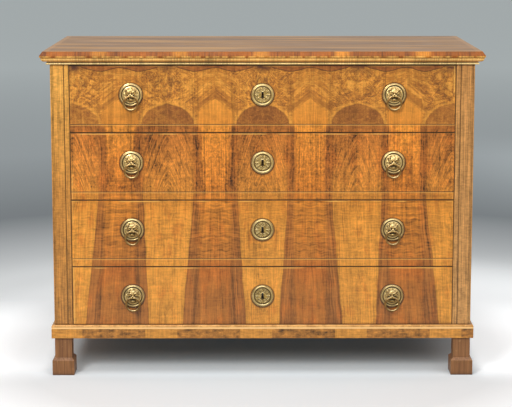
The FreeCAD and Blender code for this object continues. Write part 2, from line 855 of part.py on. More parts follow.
def make_keyhole():
    """The shape of the keyhole, from in front of its plate to the middle of the lock."""
    body = new_body("keyhole")
    top_radius = of("keyhole_top_diameter") / 2
    foot = drawer_middle_z - of("keyhole_height") / 2
    top_centre = drawer_middle_z + of("keyhole_height") / 2 - top_radius
    half_waist = of("keyhole_waist_width") / 2
    half_foot = of("keyhole_foot_width") / 2
    waist = top_centre - root(top_radius * top_radius - half_waist * half_waist)
    outline = [
        (-half_foot, foot),
        (half_foot, foot),
        (half_waist, waist),
        Arc((0, top_centre + top_radius), (0, top_centre), False),
        Arc((-half_waist, waist), (0, top_centre), False),
    ]
    depth = of("front_thickness") - of("lock_thickness") / 2
    reach = of("escutcheon_thickness") + of("escutcheon_rim_rise") + overrun
    pad(body, new_sketch(body, "XZ_Plane", "outline", outline), depth + reach)
    put(body, y=depth)
    return body


def make_lock(keyhole):
    """The lock case with the channel of its bolt, and the bolt."""
    half = of("lock_width") / 2
    gap = of("bolt_clearance")
    low = (-half, lock_front_y, drawer_middle_z - of("lock_below_keyhole"))
    high = (half, of("front_thickness"), front_height)
    block = board("lock_block", low, high)
    channel = board(
        "lock_channel",
        (-bolt_half_width - gap, bolt_front_y - gap, bolt_foot_z - gap),
        (bolt_half_width + gap, bolt_back_y + gap, front_height + overrun),
    )
    case = cut("lock_case", block, channel, keyhole)
    bolt = board(
        "lock_bolt",
        (-bolt_half_width, bolt_front_y, bolt_foot_z),
        (bolt_half_width, bolt_back_y, bolt_top_z),
    )
    return block, case, bolt


def make_drawer_box(lock_block, keyhole):
    side = make_drawer_side()
    other_side = mirrored("drawer_side_blank_left", side)
    groove = of("drawer_groove_depth")
    bottom_half = drawer_half_width - of("drawer_side_thickness") + groove
    bottom_top = of("drawer_bottom_lift") + of("drawer_bottom_thickness")
    bottom = board(
        "drawer_bottom",
        (-bottom_half, of("front_thickness") - groove, of("drawer_bottom_lift")),
        (bottom_half, drawer_length, bottom_top),
    )
    sides = group(
        "drawer_sides",
        cut("drawer_side_right", side, bottom),
        cut("drawer_side_left", other_side, bottom),
    )

    front_low = (-drawer_half_width, 0, 0)
    front_high = (drawer_half_width, of("front_thickness"), front_height)
    front_blank = board("drawer_front_blank", front_low, front_high)
    hole = of("stud_diameter") + of("stud_clearance")
    hole_length = of("front_thickness") + overrun * 2
    holes = [
        round_bar(f"stud_hole_{hand}", hole, (sign * pull_x, -overrun, drawer_middle_z), hole_length)
        for sign, hand in ((1, "right"), (-1, "left"))
    ]
    front = cut("drawer_front", front_blank, side, other_side, bottom, lock_block, keyhole, *holes)

    back_low = (-drawer_half_width, drawer_length - of("drawer_back_thickness"), bottom_top)
    back_high = (drawer_half_width, drawer_length, drawer_side_height - of("drawer_back_drop"))
    back_blank = board("drawer_back_blank", back_low, back_high)
    back = cut("drawer_back", back_blank, side, other_side)
    return front, sides, back, bottom


# Brass: escutcheon, pull plate, ring and nut


def make_escutcheon(keyhole):
    body = new_body("escutcheon_blank")
    outer = of("escutcheon_diameter") / 2
    floor = of("escutcheon_thickness")
    rim = raised_rim(outer, of("escutcheon_rim_width"), floor, of("escutcheon_rim_rise"), -1)
    section = [(0, 0), (outer, 0), *rim, (0, -floor)]
    revolve(body, new_sketch(body, "XY_Plane", "section", section))
    put(body, z=drawer_middle_z)
    return cut("escutcheon", body, keyhole)


def make_pull_plate():
    """The plate about its own middle: a rim, a dome, the stub that holds the ring, and the stud."""
    body = new_body("pull_plate")
    outer = of("plate_diameter") / 2
    floor = of("plate_thickness")
    dome_edge = outer - of("plate_rim_width") - of("plate_recess_width")
    dome_foot = floor + of("dome_edge_rise")
    rise = of("dome_rise")
    dome_radius = (dome_edge * dome_edge + rise * rise) / (rise * 2)
    dome_centre = (0, dome_radius - dome_top)
    rim = raised_rim(outer, of("plate_rim_width"), floor, of("plate_rim_rise"), -1)
    section = [
        (0, 0),
        (outer, 0),
        *rim,
        (dome_edge, -floor),
        (dome_edge, -dome_foot),
        Arc((0, -dome_top), dome_centre, True),
    ]
    revolve(body, new_sketch(body, "XY_Plane", "section", section))

    muzzle = new_sketch(body, "XZ_Plane", "muzzle")
    draw_circle(muzzle, (0, -of("hinge_drop")), of("muzzle_diameter"))
    pad(body, muzzle, muzzle_projection)
    hole = new_sketch(body, "YZ_Plane", "ring_hole")
    draw_circle(hole, (-hinge_depth, -of("hinge_drop")), ring_hole_radius * 2)
    pocket_through(body, hole)

    stud = new_sketch(body, "XZ_Plane", "stud")
    draw_circle(stud, (0, 0), of("stud_diameter"))
    length = of("front_thickness") + of("nut_thickness") + of("stud_tail")
    pad(body, stud, length, backwards=True)
    return body


def make_ring():
    """The ring as it hangs from its pivot at the origin."""
    ring = doc.addObject("Part::Torus", "ring")
    ring.Placement = Placement(Vector(), Rotation(Vector(1, 0, 0), 90))
    bind(ring, "Radius1", ring_radius)
    bind(ring, "Radius2", wire_radius)
    put(ring, z=-ring_radius)
    return ring


def make_nut():
    half = of("nut_width") / 2
    back = of("front_thickness") + of("nut_thickness")
    block = board("nut_block", (-half, of("front_thickness"), -half), (half, back, half))
    bore_size = of("stud_diameter") + of("stud_clearance")
    bore_length = of("nut_thickness") + overrun * 2
    bore = round_bar("nut_bore", bore_size, (0, of("front_thickness") - overrun, 0), bore_length)
    return cut("nut", block, bore)


def make_drawers():
    keyhole = make_keyhole()
    lock_block, lock_case, lock_bolt = make_lock(keyhole)
    front, sides, back, bottom = make_drawer_box(lock_block, keyhole)
    escutcheon = make_escutcheon(keyhole)
    plate = make_pull_plate()
    nut = make_nut()
    ring = make_ring()

    def pair(name, piece):
        right = copied(f"{name}_right", piece, pull_x, 0, drawer_middle_z)
        left = copied(f"{name}_left", piece, -pull_x, 0, drawer_middle_z)
        return group(name, right, left)

    pieces = {
        "front": front,
        "sides": sides,
        "back": back,
        "bottom": bottom,
        "pull_plates": pair("pull_plates", plate),
        "pull_nuts": pair("pull_nuts", nut),
        "escutcheon": escutcheon,
        "lock_case": lock_case,
        "lock_bolt": lock_bolt,
    }
    for level in range(DRAWER_COUNT):
        drawer = f"drawer_{DRAWER_COUNT - level}"
        floor = level_z(level) + of("running_clearance")
        for name, piece in pieces.items():
            label = f"{drawer}_{name}"
            node(label, copied(label, piece, 0, front_y, floor))
        pivot_y = front_y - hinge_depth
        pivot_z = floor + drawer_middle_z - of("hinge_drop")
        for sign, hand in ((1, "right"), (-1, "left")):
            label = f"{drawer}_ring_{hand}"
            node(label, copied(label, ring, sign * pull_x, pivot_y, pivot_z))


make_top_board()
make_cornice()
front_rails, rear_top_rail = make_rails()
make_stiles(front_rails)
side_runners = make_runners()
make_stops()
back_boards = make_back_boards()
make_side_panels(side_runners, rear_top_rail, back_boards)
bottom_board = make_bottom_board()
all_feet = make_feet()
make_base_frame(bottom_board, all_feet)
make_corner_blocks()
make_drawers()
doc.recompute()

# Every object has to be sound before anything is written

for thing in doc.Objects:
    if "Invalid" in thing.State or "Error" in thing.State:
        raise RuntimeError(f"{thing.Name} failed: {thing.State}")
for label, piece in nodes.items():
    if piece.Label != label:
        raise RuntimeError(f"{label} has a second owner")
    if piece.Shape.isNull() or not piece.Shape.isValid() or not piece.Shape.Solids:
        raise RuntimeError(f"{label} has no sound shape")

os.makedirs("parts", exist_ok=True)
for label, piece in nodes.items():
    piece.Shape.exportStep(f"parts/{label}.step")
    print(f"{label}: {len(piece.Shape.Solids)} solids, {piece.Shape.Volume / 1000:.1f} cm3")

whole = Part.makeCompound([piece.Shape for piece in nodes.values()]).BoundBox
print(f"{len(nodes)} sub-parts, {whole.XLength:.1f} x {whole.YLength:.1f} x {whole.ZLength:.1f} mm")
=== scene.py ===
import math

import bpy
from mathutils import Matrix, Vector


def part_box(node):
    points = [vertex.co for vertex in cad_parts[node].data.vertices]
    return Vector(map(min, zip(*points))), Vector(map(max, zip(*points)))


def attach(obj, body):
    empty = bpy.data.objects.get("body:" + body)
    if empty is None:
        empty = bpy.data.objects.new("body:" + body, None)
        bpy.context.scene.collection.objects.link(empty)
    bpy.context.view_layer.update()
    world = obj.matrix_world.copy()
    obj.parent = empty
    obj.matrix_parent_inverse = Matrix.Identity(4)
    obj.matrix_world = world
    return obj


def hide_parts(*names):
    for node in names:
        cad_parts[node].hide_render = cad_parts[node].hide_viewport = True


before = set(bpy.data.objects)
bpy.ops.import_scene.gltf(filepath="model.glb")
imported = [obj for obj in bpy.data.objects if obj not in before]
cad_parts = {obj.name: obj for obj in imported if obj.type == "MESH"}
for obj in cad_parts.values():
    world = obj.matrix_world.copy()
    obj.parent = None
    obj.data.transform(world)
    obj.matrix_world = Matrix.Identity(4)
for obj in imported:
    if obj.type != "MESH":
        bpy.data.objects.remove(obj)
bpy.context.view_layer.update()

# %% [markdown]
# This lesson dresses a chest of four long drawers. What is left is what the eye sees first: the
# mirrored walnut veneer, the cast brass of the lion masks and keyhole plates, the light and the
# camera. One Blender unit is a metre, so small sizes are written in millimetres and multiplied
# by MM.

MM = 0.001
scene = bpy.context.scene
scene.view_settings.view_transform = "Standard"

# %% [markdown]
# The photograph is taken from the front, a little above the top, with a long lens. A camera could
# be placed by eye, but measured corners of the chest give it better: the numbers below put the
# modelled corners within a few pixels of those in the picture. Angles are in radians. The shift
# stays small, because the views from other sides keep it.

# %% Camera
IMAGE_WIDTH = 512
SENSOR_WIDTH = 36.0
FOCAL_PIXELS = 1562.5
CAMERA_PLACE = (-0.0167, -4.4688, 1.2517)
LOOK_DOWN = 0.1416
LOOK_LEFT = -0.0042
SHIFT_RIGHT = -0.0135
SHIFT_UP = -0.12

bpy.ops.object.camera_add(
    location=CAMERA_PLACE,
    rotation=(math.pi / 2 - LOOK_DOWN, 0, LOOK_LEFT),
)
camera = bpy.context.object
camera.name = "photo_camera"
camera.data.sensor_width = SENSOR_WIDTH
camera.data.lens = FOCAL_PIXELS * SENSOR_WIDTH / IMAGE_WIDTH
camera.data.shift_x = SHIFT_RIGHT
camera.data.shift_y = SHIFT_UP
scene.camera = camera
print("lens in millimetres:", round(camera.data.lens, 1))

# %% [markdown]
# A surface in Blender gets its colour from a tree of nodes. Clicking such trees together is slow
# to read, so this class wraps one output of a node: sums written on it in Python add Math nodes,
# and its method node() adds any other node. Steps that come often, such as a soft step between
# two values, are methods too.


# %% Shader sums
class Socket:
    """One output of a shader node. Sums on it add Math nodes to the same tree."""

    def __init__(self, tree, output=None):
        self.tree = tree
        self.output = output

    def node(self, kind, settings=None, inputs=None, output=0):
        """Adds a node: its settings first, then the values or links of its sockets."""
        made = self.tree.nodes.new(kind)
        for name, value in (settings or {}).items():
            if name == "stops":
                fill_ramp(made.color_ramp, value)
            else:
                setattr(made, name, value)
        for key, value in (inputs or {}).items():
            if isinstance(value, Socket):
                self.tree.links.new(value.output, made.inputs[key])
            else:
                made.inputs[key].default_value = value
        return Socket(self.tree, made.outputs[output] if made.outputs else None)

    def math(self, operation, *others):
        inputs = dict(enumerate((self, *others)))
        return self.node("ShaderNodeMath", {"operation": operation}, inputs)

    def vector(self, operation, other=None, output=0):
        """One step of vector maths, alone or with a second vector."""
        inputs = {0: self} if other is None else {0: self, 1: other}
        return self.node("ShaderNodeVectorMath", {"operation": operation}, inputs, output)

    def axis(self, name):
        """The X, Y or Z of a vector."""
        return self.node("ShaderNodeSeparateXYZ", inputs={0: self}, output=name)

    def between(self, low, high):
        """0 below low, 1 above high, and a soft step between them."""
        return self.node(
            "ShaderNodeMapRange", {"interpolation_type": "SMOOTHSTEP"}, {0: self, 1: low, 2: high}
        )

    def below(self, low, high):
        """1 below low, 0 above high, and a soft step between them."""
        return 1 - self.between(low, high)

    def within(self, low, full, fading, high):
        """1 in a band from full to fading, 0 below low and above high."""
        return self.between(low, full) * self.below(fading, high)

    def slope(self, low, high, first, last):
        """The value first up to low, last from high on, and a straight slope between them."""
        return self.node("ShaderNodeMapRange", inputs={0: self, 1: low, 2: high, 3: first, 4: last})

    def __abs__(self):
        return self.math("ABSOLUTE")

    def __mod__(self, other):
        return self.math("FLOORED_MODULO", other)

    def __add__(self, other):
        return self.math("ADD", other)

    def __radd__(self, other):
        return self.math("ADD", other)

    def __sub__(self, other):
        return self.math("SUBTRACT", other)

    def __rsub__(self, other):
        return self.node("ShaderNodeMath", {"operation": "SUBTRACT"}, {0: other, 1: self})

    def __mul__(self, other):
        return self.math("MULTIPLY", other)

    def __rmul__(self, other):
        return self.math("MULTIPLY", other)

    def __truediv__(self, other):
        return self.math("DIVIDE", other)

    def __rtruediv__(self, other):
        return self.node("ShaderNodeMath", {"operation": "DIVIDE"}, {0: other, 1: self})


print("sums on", Socket.__name__, "add nodes")

# %% [markdown]
# Colours are written as in a paint program, from 0 to 255, and turned to linear light, in which
# Blender reckons. Wood and metal get their unrest from noise. A picture of wood would repeat or
# end somewhere, while noise is there at every point, and dividing a coordinate by a length draws
# its shapes out to that length.


# %% Colours and noise
def paint(red, green, blue):
    """A colour from 0 to 255 as linear light."""
    linear = []
    for level in (red / 255, green / 255, blue / 255):
        linear.append(level / 12.92 if level <= 0.04045 else ((level + 0.055) / 1.055) ** 2.4)
    return (*linear, 1.0)


def fill_ramp(ramp, stops):
    """Sets a colour ramp from pairs of a place from 0 to 1 and a colour."""
    while len(ramp.elements) < len(stops):
        ramp.elements.new(1.0)
    for element, (place, colour) in zip(ramp.elements, stops):
        element.position = place
        element.color = colour


def along(value, length, stops):
    """The colour of a ramp, whose stops are pairs of a distance up to length and a colour."""
    shares = [(distance / length, paint(*colour)) for distance, colour in stops]
    return value.node("ShaderNodeValToRGB", {"stops": shares}, {0: value / length})


def blend(share, first, second):
    """The first colour where share is 0 and the second where it is 1."""
    inputs = {0: share, 6: first, 7: second}
    return share.node("ShaderNodeMix", {"data_type": "RGBA"}, inputs, output=2)


def brighten(colour, amount):
    """A colour times a number."""
    return colour.node("ShaderNodeVectorMath", {"operation": "SCALE"}, {0: colour, 3: amount})


def cloud(a, b, c, detail=2.0, roughness=0.5, twist=0.0):
    """Soft noise about 0.5 over three numbers, with shapes about one unit across."""
    first = next(part for part in (a, b, c) if isinstance(part, Socket))
    point = first.node("ShaderNodeCombineXYZ", inputs={0: a, 1: b, 2: c})
    sockets = {"Vector": point, "Scale": 1.0, "Detail": detail}
    sockets.update({"Roughness": roughness, "Distortion": twist})
    return first.node("ShaderNodeTexNoise", inputs=sockets)


def swing(noise, amount):
    """Soft noise as a change up and down about 0."""
    return (noise - 0.5) * amount


def drawn_out(spot, along_axis, length, width, **settings):
    """Soft noise with shapes of a length along X, Y or Z and a width across it, in millimetres."""
    sizes = [length if axis == along_axis else width for axis in "XYZ"]
    return cloud(*[value / size for value, size in zip(spot, sizes)], **settings)


print("white in linear light:", paint(255, 255, 255))

# %% [markdown]
# Every finish begins and ends alike. It reads the place of the shaded point from Object
# coordinates, which are the same as the chest's own, because every piece sits at the origin. It
# closes with one Principled shader, and fine relief such as pores is a Bump node on its normal,
# since it is too small to model.

# %% Start and end of a finish
MM_PER_M = 1000


def new_finish(name):
    """An empty material and a socket to start its tree from."""
    finish = bpy.data.materials.new(name)
    finish.use_nodes = True
    finish.node_tree.nodes.clear()
    return finish, Socket(finish.node_tree)


def place_in_mm(start):
    """The three coordinates of the shaded point, in millimetres."""
    spot = start.node("ShaderNodeTexCoord", output="Object")
    return [spot.axis(axis) * MM_PER_M for axis in "XYZ"]


def seen_directly(start):
    """1 for what the camera, a mirror or a glass sees, and 0 for the light that falls on things."""
    rays = [f"Is {kind} Ray" for kind in ("Camera", "Glossy", "Transmission")]
    first, second, third = [start.node("ShaderNodeLightPath", output=ray) for ray in rays]
    return (first + second + third).math("MINIMUM", 1.0)


def fine_relief(start, relief, strength, depth, **base):
    """A bump of a depth in metres; base may give the normal to start from."""
    sockets = {"Strength": strength, "Distance": depth, "Height": relief, **base}
    return start.node("ShaderNodeBump", inputs=sockets)


def close_finish(start, sockets):
    """Ends a material with one Principled shader."""
    shader = start.node("ShaderNodeBsdfPrincipled", inputs=sockets)
    start.node("ShaderNodeOutputMaterial", inputs={"Surface": shader})


print("millimetres in a metre:", MM_PER_M)

# %% [markdown]
# The chest stands on a pale studio floor that falls off to grey further away. A wall could be
# modelled behind it, but a wall would stand in the way of the views from the back, so one wide
# floor does both: its colour follows the distance from the middle, a painted pool of light round
# the chest. An Ambient Occlusion node paints shade into the floor's colour under the chest and
# where the feet stand.

# %% Floor
FLOOR_RADIUS = 60.0
FLOOR_DROP = 0.0003
FLOOR_FADE = 10.0
CONTACT_REACH = 0.5
CONTACT_DARK = 0.55

bpy.ops.object.select_all(action="DESELECT")
bpy.ops.mesh.primitive_circle_add(
    vertices=96, radius=FLOOR_RADIUS, fill_type="NGON", location=(0, 0, -FLOOR_DROP)
)
floor = bpy.context.object
floor.name = "studio_floor"
floor_paint, start = new_finish("floor_paint")
spot = start.node("ShaderNodeTexCoord", output="Object")
distance = spot.vector("LENGTH", output="Value")
# Painted pool of light: pale near the chest, grey further out.
floor_colour = along(
    distance,
    FLOOR_FADE,
    [
        (0.4, (216, 222, 225)),
        (0.8, (222, 222, 222)),
        (1.3, (226, 228, 228)),
        (2.3, (146, 151, 154)),
        (9.0, (160, 165, 167)),
    ],
)
# Painted shade under the chest and round the feet, from an Ambient Occlusion node.
openness = start.node(
    "ShaderNodeAmbientOcclusion", {"samples": 8}, {"Distance": CONTACT_REACH}, output="AO"
)
contact = openness.between(-0.05, 0.35)
floor_colour = brighten(floor_colour, CONTACT_DARK + (1 - CONTACT_DARK) * contact)
print("floor radius in metres:", FLOOR_RADIUS)

# %% [markdown]
# In the photograph the floor is paler than lamps that suit the wood make it, and the shadow
# beside the chest is weak. More light would bleach the veneer, so the floor glows by itself: by
# distance all round, a little more at the right, along the front edge and beside the chest. Only
# the camera, a mirror or a glass sees the glow, so that it puts no light on the chest, and the
# shadow of the lamps stays on the floor.

# %% Floor glow
RIGHT_GAIN = 1.8
LEFT_LOSS = 0.5
SIDE_FILL = 0.34
RIGHT_FILL = 0.16
BACK_FILL = 0.21
FRONT_GLOW = paint(114, 122, 126)

forward = 0 - spot.axis("Y")
sideways = spot.axis("X")
rightward = sideways.between(0.5, 2.5)
leftward = (0 - sideways).between(0.3, 0.8)
floor_glow = along(
    distance,
    FLOOR_FADE,
    [
        (0.5, (0, 24, 34)),
        (0.7, (28, 32, 34)),
        (0.9, (132, 134, 135)),
        (1.15, (126, 128, 129)),
        (1.5, (74, 76, 77)),
        (2.3, (44, 47, 48)),
        (4.0, (110, 115, 116)),
        (9.0, (144, 150, 150)),
    ],
)
far_left = leftward * distance.within(0.95, 1.2, 2.0, 3.0)
near_right = rightward * distance.below(3.0, 5.0)
floor_glow = brighten(floor_glow, 1 + near_right * RIGHT_GAIN - far_left * LEFT_LOSS)
front_edge = forward.within(0.0, 0.24, 0.22, 0.32) * distance.below(0.5, 0.75)
floor_glow = blend(front_edge, floor_glow, FRONT_GLOW)
beside = abs(sideways).within(0.56, 0.63, 0.95, 1.6)
right_half = sideways.between(-0.1, 0.1)
shadow_zone = forward.within(-0.65, -0.25, 0.15, 0.36)
back_zone = forward.within(-1.4, -0.7, -0.65, -0.25) * right_half
side_fill = shadow_zone * (SIDE_FILL + right_half * RIGHT_FILL)
fill_share = beside * (side_fill + back_zone * BACK_FILL)
fill_light = blend(fill_share, paint(0, 0, 0), paint(255, 255, 255))
floor_glow = brighten(floor_glow.vector("ADD", fill_light), seen_directly(start))
close_finish(
    start,
    {
        "Base Color": floor_colour,
        "Roughness": 0.9,
        "Specular IOR Level": 0.1,
        "Emission Color": floor_glow,
        "Emission Strength": 1.0,
    },
)
floor.data.materials.append(floor_paint)
print("floor finish:", len(floor_paint.node_tree.nodes), "nodes")

# %% [markdown]
# The light in the photograph is soft and comes from the upper left: the rims of the brass plates
# are bright there and their shadows fall to the lower right. One large lamp at the left, a weaker
# one at the right and one overhead give that. The air around gives the rest, and what the polish
# mirrors is a plain grey studio.


# %% Light
def soft_lamp(name, place, target, size, power):
    """A square lamp at a place, turned to a target."""
    bpy.ops.object.light_add(type="AREA", location=place)
    lamp = bpy.context.object
    lamp.name = name
    lamp.rotation_euler = (Vector(target) - Vector(place)).to_track_quat("-Z", "Y").to_euler()
    lamp.data.size = size
    lamp.data.energy = power


soft_lamp("key_lamp", place=(-1.9, -3.9, 3.1), target=(0, 0, 0.5), size=1.1, power=130)
soft_lamp("fill_lamp", place=(3.0, -4.4, 2.6), target=(0, 0, 0.5), size=3.0, power=60)
soft_lamp("top_lamp", place=(0, -1.2, 4.4), target=(0, 0, 0.3), size=2.4, power=108)

studio_air = bpy.data.worlds.new("studio_air")
studio_air.use_nodes = True
studio_air.node_tree.nodes.clear()
scene.world = studio_air
start = Socket(studio_air.node_tree)
direction = start.node("ShaderNodeTexCoord", output="Generated")
rise = direction.axis("Z")
back = direction.axis("Y").between(-0.1, 0.3)
low_grey = blend(back, paint(120, 120, 120), paint(176, 180, 182))
studio_grey = blend(rise.between(0.05, 0.9), low_grey, paint(226, 228, 228))
lighting_grey = paint(118, 120, 122)
air_colour = blend(seen_directly(start), lighting_grey, studio_grey)
air = start.node("ShaderNodeBackground", inputs={"Color": air_colour, "Strength": 1.0})
start.node("ShaderNodeOutputWorld", inputs={"Surface": air})

# %% [markdown]
# All the show wood is closed the same way. Its edges are softened and a little paler, partly
# because hands and dusters wear the polish there and partly as a painted highlight; old wax and
# dust darken the joints and the wood round the brass, together with painted shade; amber varnish
# lies over all. Edges could be bevelled in the mesh, but the CAD boards stay as they are, so a
# Bevel node rounds them in the shading, and an Ambient Occlusion node finds the joints.

# %% Polish
DRAWERS = range(1, 5)
EDGE_ROUND = 1.2 * MM
DIRT_AND_SHADE_REACH = 8 * MM
VARNISH = (0.95, 0.92, 0.62)
VENEER_DULL = 0.36
PALE_EDGE = paint(228, 176, 112)
DIRT_AND_SHADE = paint(48, 26, 14)


def polish(start, colour, relief, dullness, coat=0.15, wear_and_highlight=0.35, dirt_and_shade=0.8):
    """Closes a wood finish: worn edges with painted highlight, dirt and painted shade in the joints,
    grain relief and a polish.
    """
    soft = start.node("ShaderNodeBevel", {"samples": 4}, {"Radius": EDGE_ROUND})
    flat = start.node("ShaderNodeNewGeometry", output="True Normal")
    agreement = soft.vector("DOT_PRODUCT", flat, output="Value")
    spot = place_in_mm(start)
    patches = drawn_out(spot, "Z", 60, 60, detail=3)
    # Painted highlight and wear: edges that the Bevel node finds are blended towards a pale colour.
    edge = agreement.below(0.80, 0.985) * patches.between(0.25, 0.65) * wear_and_highlight
    colour = blend(edge, colour, PALE_EDGE)
    # Painted shade and dirt: the Ambient Occlusion node darkens joints, corners and the wood round
    # the brass.
    openness = start.node(
        "ShaderNodeAmbientOcclusion", {"samples": 6}, {"Distance": DIRT_AND_SHADE_REACH}, output="AO"
    )
    colour = blend(openness.below(0.45, 0.93) * dirt_and_shade, colour, DIRT_AND_SHADE)
    smudges = drawn_out(spot, "Z", 130, 90, detail=3)
    close_finish(
        start,
        {
            "Base Color": colour.vector("MULTIPLY", VARNISH),
            "Roughness": dullness + swing(smudges, 0.16),
            "Specular IOR Level": 0.35,
            "Coat Weight": coat,
            "Coat Roughness": 0.18,
            "Normal": fine_relief(start, relief, strength=0.25, depth=0.25 * MM, Normal=soft),
        },
    )


def in_each_drawer(*parts):
    """The names of the same parts in all four drawers."""
    return [f"drawer_{number}_{part}" for number in DRAWERS for part in parts]


def dress(finish, *names):
    """Puts a finish on CAD nodes."""
    for name in names:
        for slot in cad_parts[name].material_slots:
            slot.material = finish
    print(finish.name, "on", len(names), "nodes")


print("varnish lets through:", VARNISH)

# %% [markdown]
# The drawer fronts are the show of this chest. Thin leaves were sawn one after the other from the
# foot of a walnut trunk and laid side by side like the pages of a book, so each leaf mirrors its
# neighbour and the figure runs on from drawer to drawer. A picture of wood can't be used, so the
# figure is drawn with sums: a point's distance from the nearest light seam, and its height, say
# in which band of the wood it lies. The lists give each band's colour by height above the floor.

# %% Bands of the walnut leaves
LEAF = 129.0
CHEST_HEIGHT = 900.0

sap_stops = [
    (140, (212, 146, 70)),
    (300, (217, 147, 68)),
    (420, (216, 145, 66)),
    (478, (208, 136, 58)),
    (520, (186, 120, 53)),
    (600, (182, 114, 52)),
    (670, (172, 104, 48)),
    (700, (158, 96, 48)),
]
streak_stops = [
    (140, (150, 94, 50)),
    (330, (154, 95, 47)),
    (490, (160, 98, 45)),
    (560, (166, 98, 43)),
    (660, (162, 96, 43)),
    (700, (154, 92, 45)),
]
column_stops = [
    (140, (168, 106, 53)),
    (250, (172, 106, 50)),
    (302, (188, 107, 46)),
    (332, (180, 112, 51)),
    (480, (194, 121, 49)),
    (520, (198, 119, 48)),
    (620, (210, 130, 55)),
    (700, (220, 141, 60)),
]


def mirrored_leaves(across):
    """Folds a run of leaves: distance from the nearest light seam, leaf number and hand."""
    number = (across / LEAF).math("FLOOR")
    hand = number % 2.0
    return across.math("PINGPONG", LEAF), number * 0.17, hand


def thin_lines(noise, width):
    """1 on the thin lines where soft noise passes its middle, 0 beside them."""
    return abs(noise - 0.5).below(0.0, width)


print("leaf width:", LEAF)

# %% [markdown]
# Below the burl every leaf has three bands: pale sapwood along the light seam, a dark streak with
# a sharp border and a warm column along the dark seam. In the second drawer the bands grow ragged
# and a feather rises from the seam, in the third the wood is rippled, and short darts lean away
# from the seam in the lower ones. The bands could be cut as separate pieces; here each is a share
# from 0 to 1 that blends one colour over another.

# %% Figure of the trunk
TRUNK_FOOT = 140.0
SAP_TOP = 493.0
SAP_NARROW = 45.0
SAP_WIDE = 69.0
COLUMN_EDGE = 87
SECOND_DRAWER = (485, 530, 675, 705)
THIRD_DRAWER = (326, 345, 480, 520)
FEATHER_BAND = (498, 540, 678, 700)
TURNED_BAND = (540, 590, 672, 700)
BORDER_BROWN = paint(122, 72, 38)
RED_HEART = paint(188, 104, 42)


def trunk_figure(seam, leaf, hand, height):
    """Colour and shade of the leaves below the burl: sapwood, dark streak and warm column."""
    sap_edge = height.slope(TRUNK_FOOT, SAP_TOP, SAP_NARROW, SAP_WIDE)
    second_drawer = height.within(*SECOND_DRAWER)
    ragged = swing(cloud(seam / 7, leaf, height / 34, detail=3), 5 + second_drawer * 11)
    from_edge = seam - sap_edge + ragged
    softness = 1.2 + second_drawer * 5
    sap = from_edge.below(0 - softness, softness)
    column_edge = COLUMN_EDGE + height.between(490, 522) * 5 - height.between(680, 705) * 9
    column = (seam - column_edge + ragged * 0.8).between(-9, 6)
    streak_colour = along(height, CHEST_HEIGHT, streak_stops)
    colour = blend(sap, streak_colour, along(height, CHEST_HEIGHT, sap_stops))
    colour = blend(column, colour, along(height, CHEST_HEIGHT, column_stops))
    border = abs(from_edge).below(0.6, 2.6) * (1 - second_drawer)
    colour = blend(border * 0.5, colour, BORDER_BROWN)
    red_patches = cloud(seam / 26, leaf * 2, height / 70, detail=4, roughness=0.6)
    colour = blend(red_patches.between(0.48, 0.72) * 0.55, colour, RED_HEART)

    streak = (1 - sap) * (1 - column * 0.8)
    fine = cloud(seam / 3.2, leaf, height / 160, detail=2, roughness=0.55)
    broad = cloud(from_edge / 5.5, leaf, height / 500, detail=3, roughness=0.65)
    veins = thin_lines(cloud(seam / 11, leaf, height / 420, detail=1), 0.022)
    blotches = cloud(seam / 30, leaf * 3, height / 46, detail=4, roughness=0.6)
    flecks = thin_lines(cloud(seam / 4.5, leaf, height / 50, detail=2), 0.035)
    waves = height + swing(cloud(seam / 24, leaf, height / 60), 14)
    ripple = cloud(seam / 30, leaf, waves / 4.6, detail=1)
    third_drawer = height.within(*THIRD_DRAWER)
    rippled = 0.55 + third_drawer * (0.25 + (1 - sap) * 0.8)
    shade = 1.02 + swing(fine, 0.95) + swing(broad, 0.5 + streak * 2.0)
    shade = shade + swing(blotches, 1.0) + swing(ripple, rippled) - flecks * 0.16 - veins * 0.14
    speckle = cloud(seam / 6, leaf, height / 7, detail=3, roughness=0.7)
    shade = shade + swing(speckle, 0.45 + second_drawer * 1.1)

    leaning = cloud((seam - height * 0.09) / 4.4, leaf, height / 52, detail=2)
    burst = cloud(leaf * 5, 2.0, height / 42, detail=1).between(0.47, 0.62)
    darts = thin_lines(leaning, 0.06) * seam.below(9, 30) * burst
    shade = shade - darts * height.below(486, 500) * 0.34

    heart = height.within(*FEATHER_BAND) * seam.below(48, 72)
    arch = height + ((seam * seam + 100).math("SQRT") - 10) * 3.0
    feather = cloud(arch / 10, leaf, seam / 60, detail=4, roughness=0.65, twist=0.7)
    flames = thin_lines(cloud(arch / 15, leaf, seam / 45, detail=2, twist=0.6), 0.045)
    turned = height.within(*TURNED_BAND)
    shade = shade + heart * (swing(feather, 1.9) + flames * 0.26)
    shade = shade + (0.5 - hand) * turned * seam.below(50, 70) * 0.18
    return colour, shade


print("trunk figure starts at", TRUNK_FOOT)

# %% [markdown]
# The top drawer lies where the trunk spreads into burl. Above each light seam a dark dome rises
# from the rail, above each dark seam stands a pale shape like a house, and a wavy dark line runs
# along the top. The curves are measured on the photograph; noise between them gives the restless
# burl.

# %% Burl of the top drawer
BURL_FOOT = 700.0
PLUME_ROOT = 728
PETAL_ROOT = 868
ARCH_FOOT = 752
GABLE_TOP = 771
GABLE_SLOPE = 0.78
HOUSE_HALF = 48
DOME_FOOT = 698
DOME_HALF = 73
DOME_RISE = 57
LINE_HEIGHT = 850
LINE_WAVE = 106
BURL_LIGHT = paint(236, 172, 92)
PETAL_LIGHT = paint(238, 172, 88)
ARCH_LIGHT = paint(236, 170, 88)
GABLE_SHADE = paint(146, 88, 42)
DOME_RIM = paint(230, 160, 78)
OVER_LINE = paint(158, 90, 50)
SMUDGE = paint(92, 54, 44)
LINE_DARK = paint(78, 44, 32)

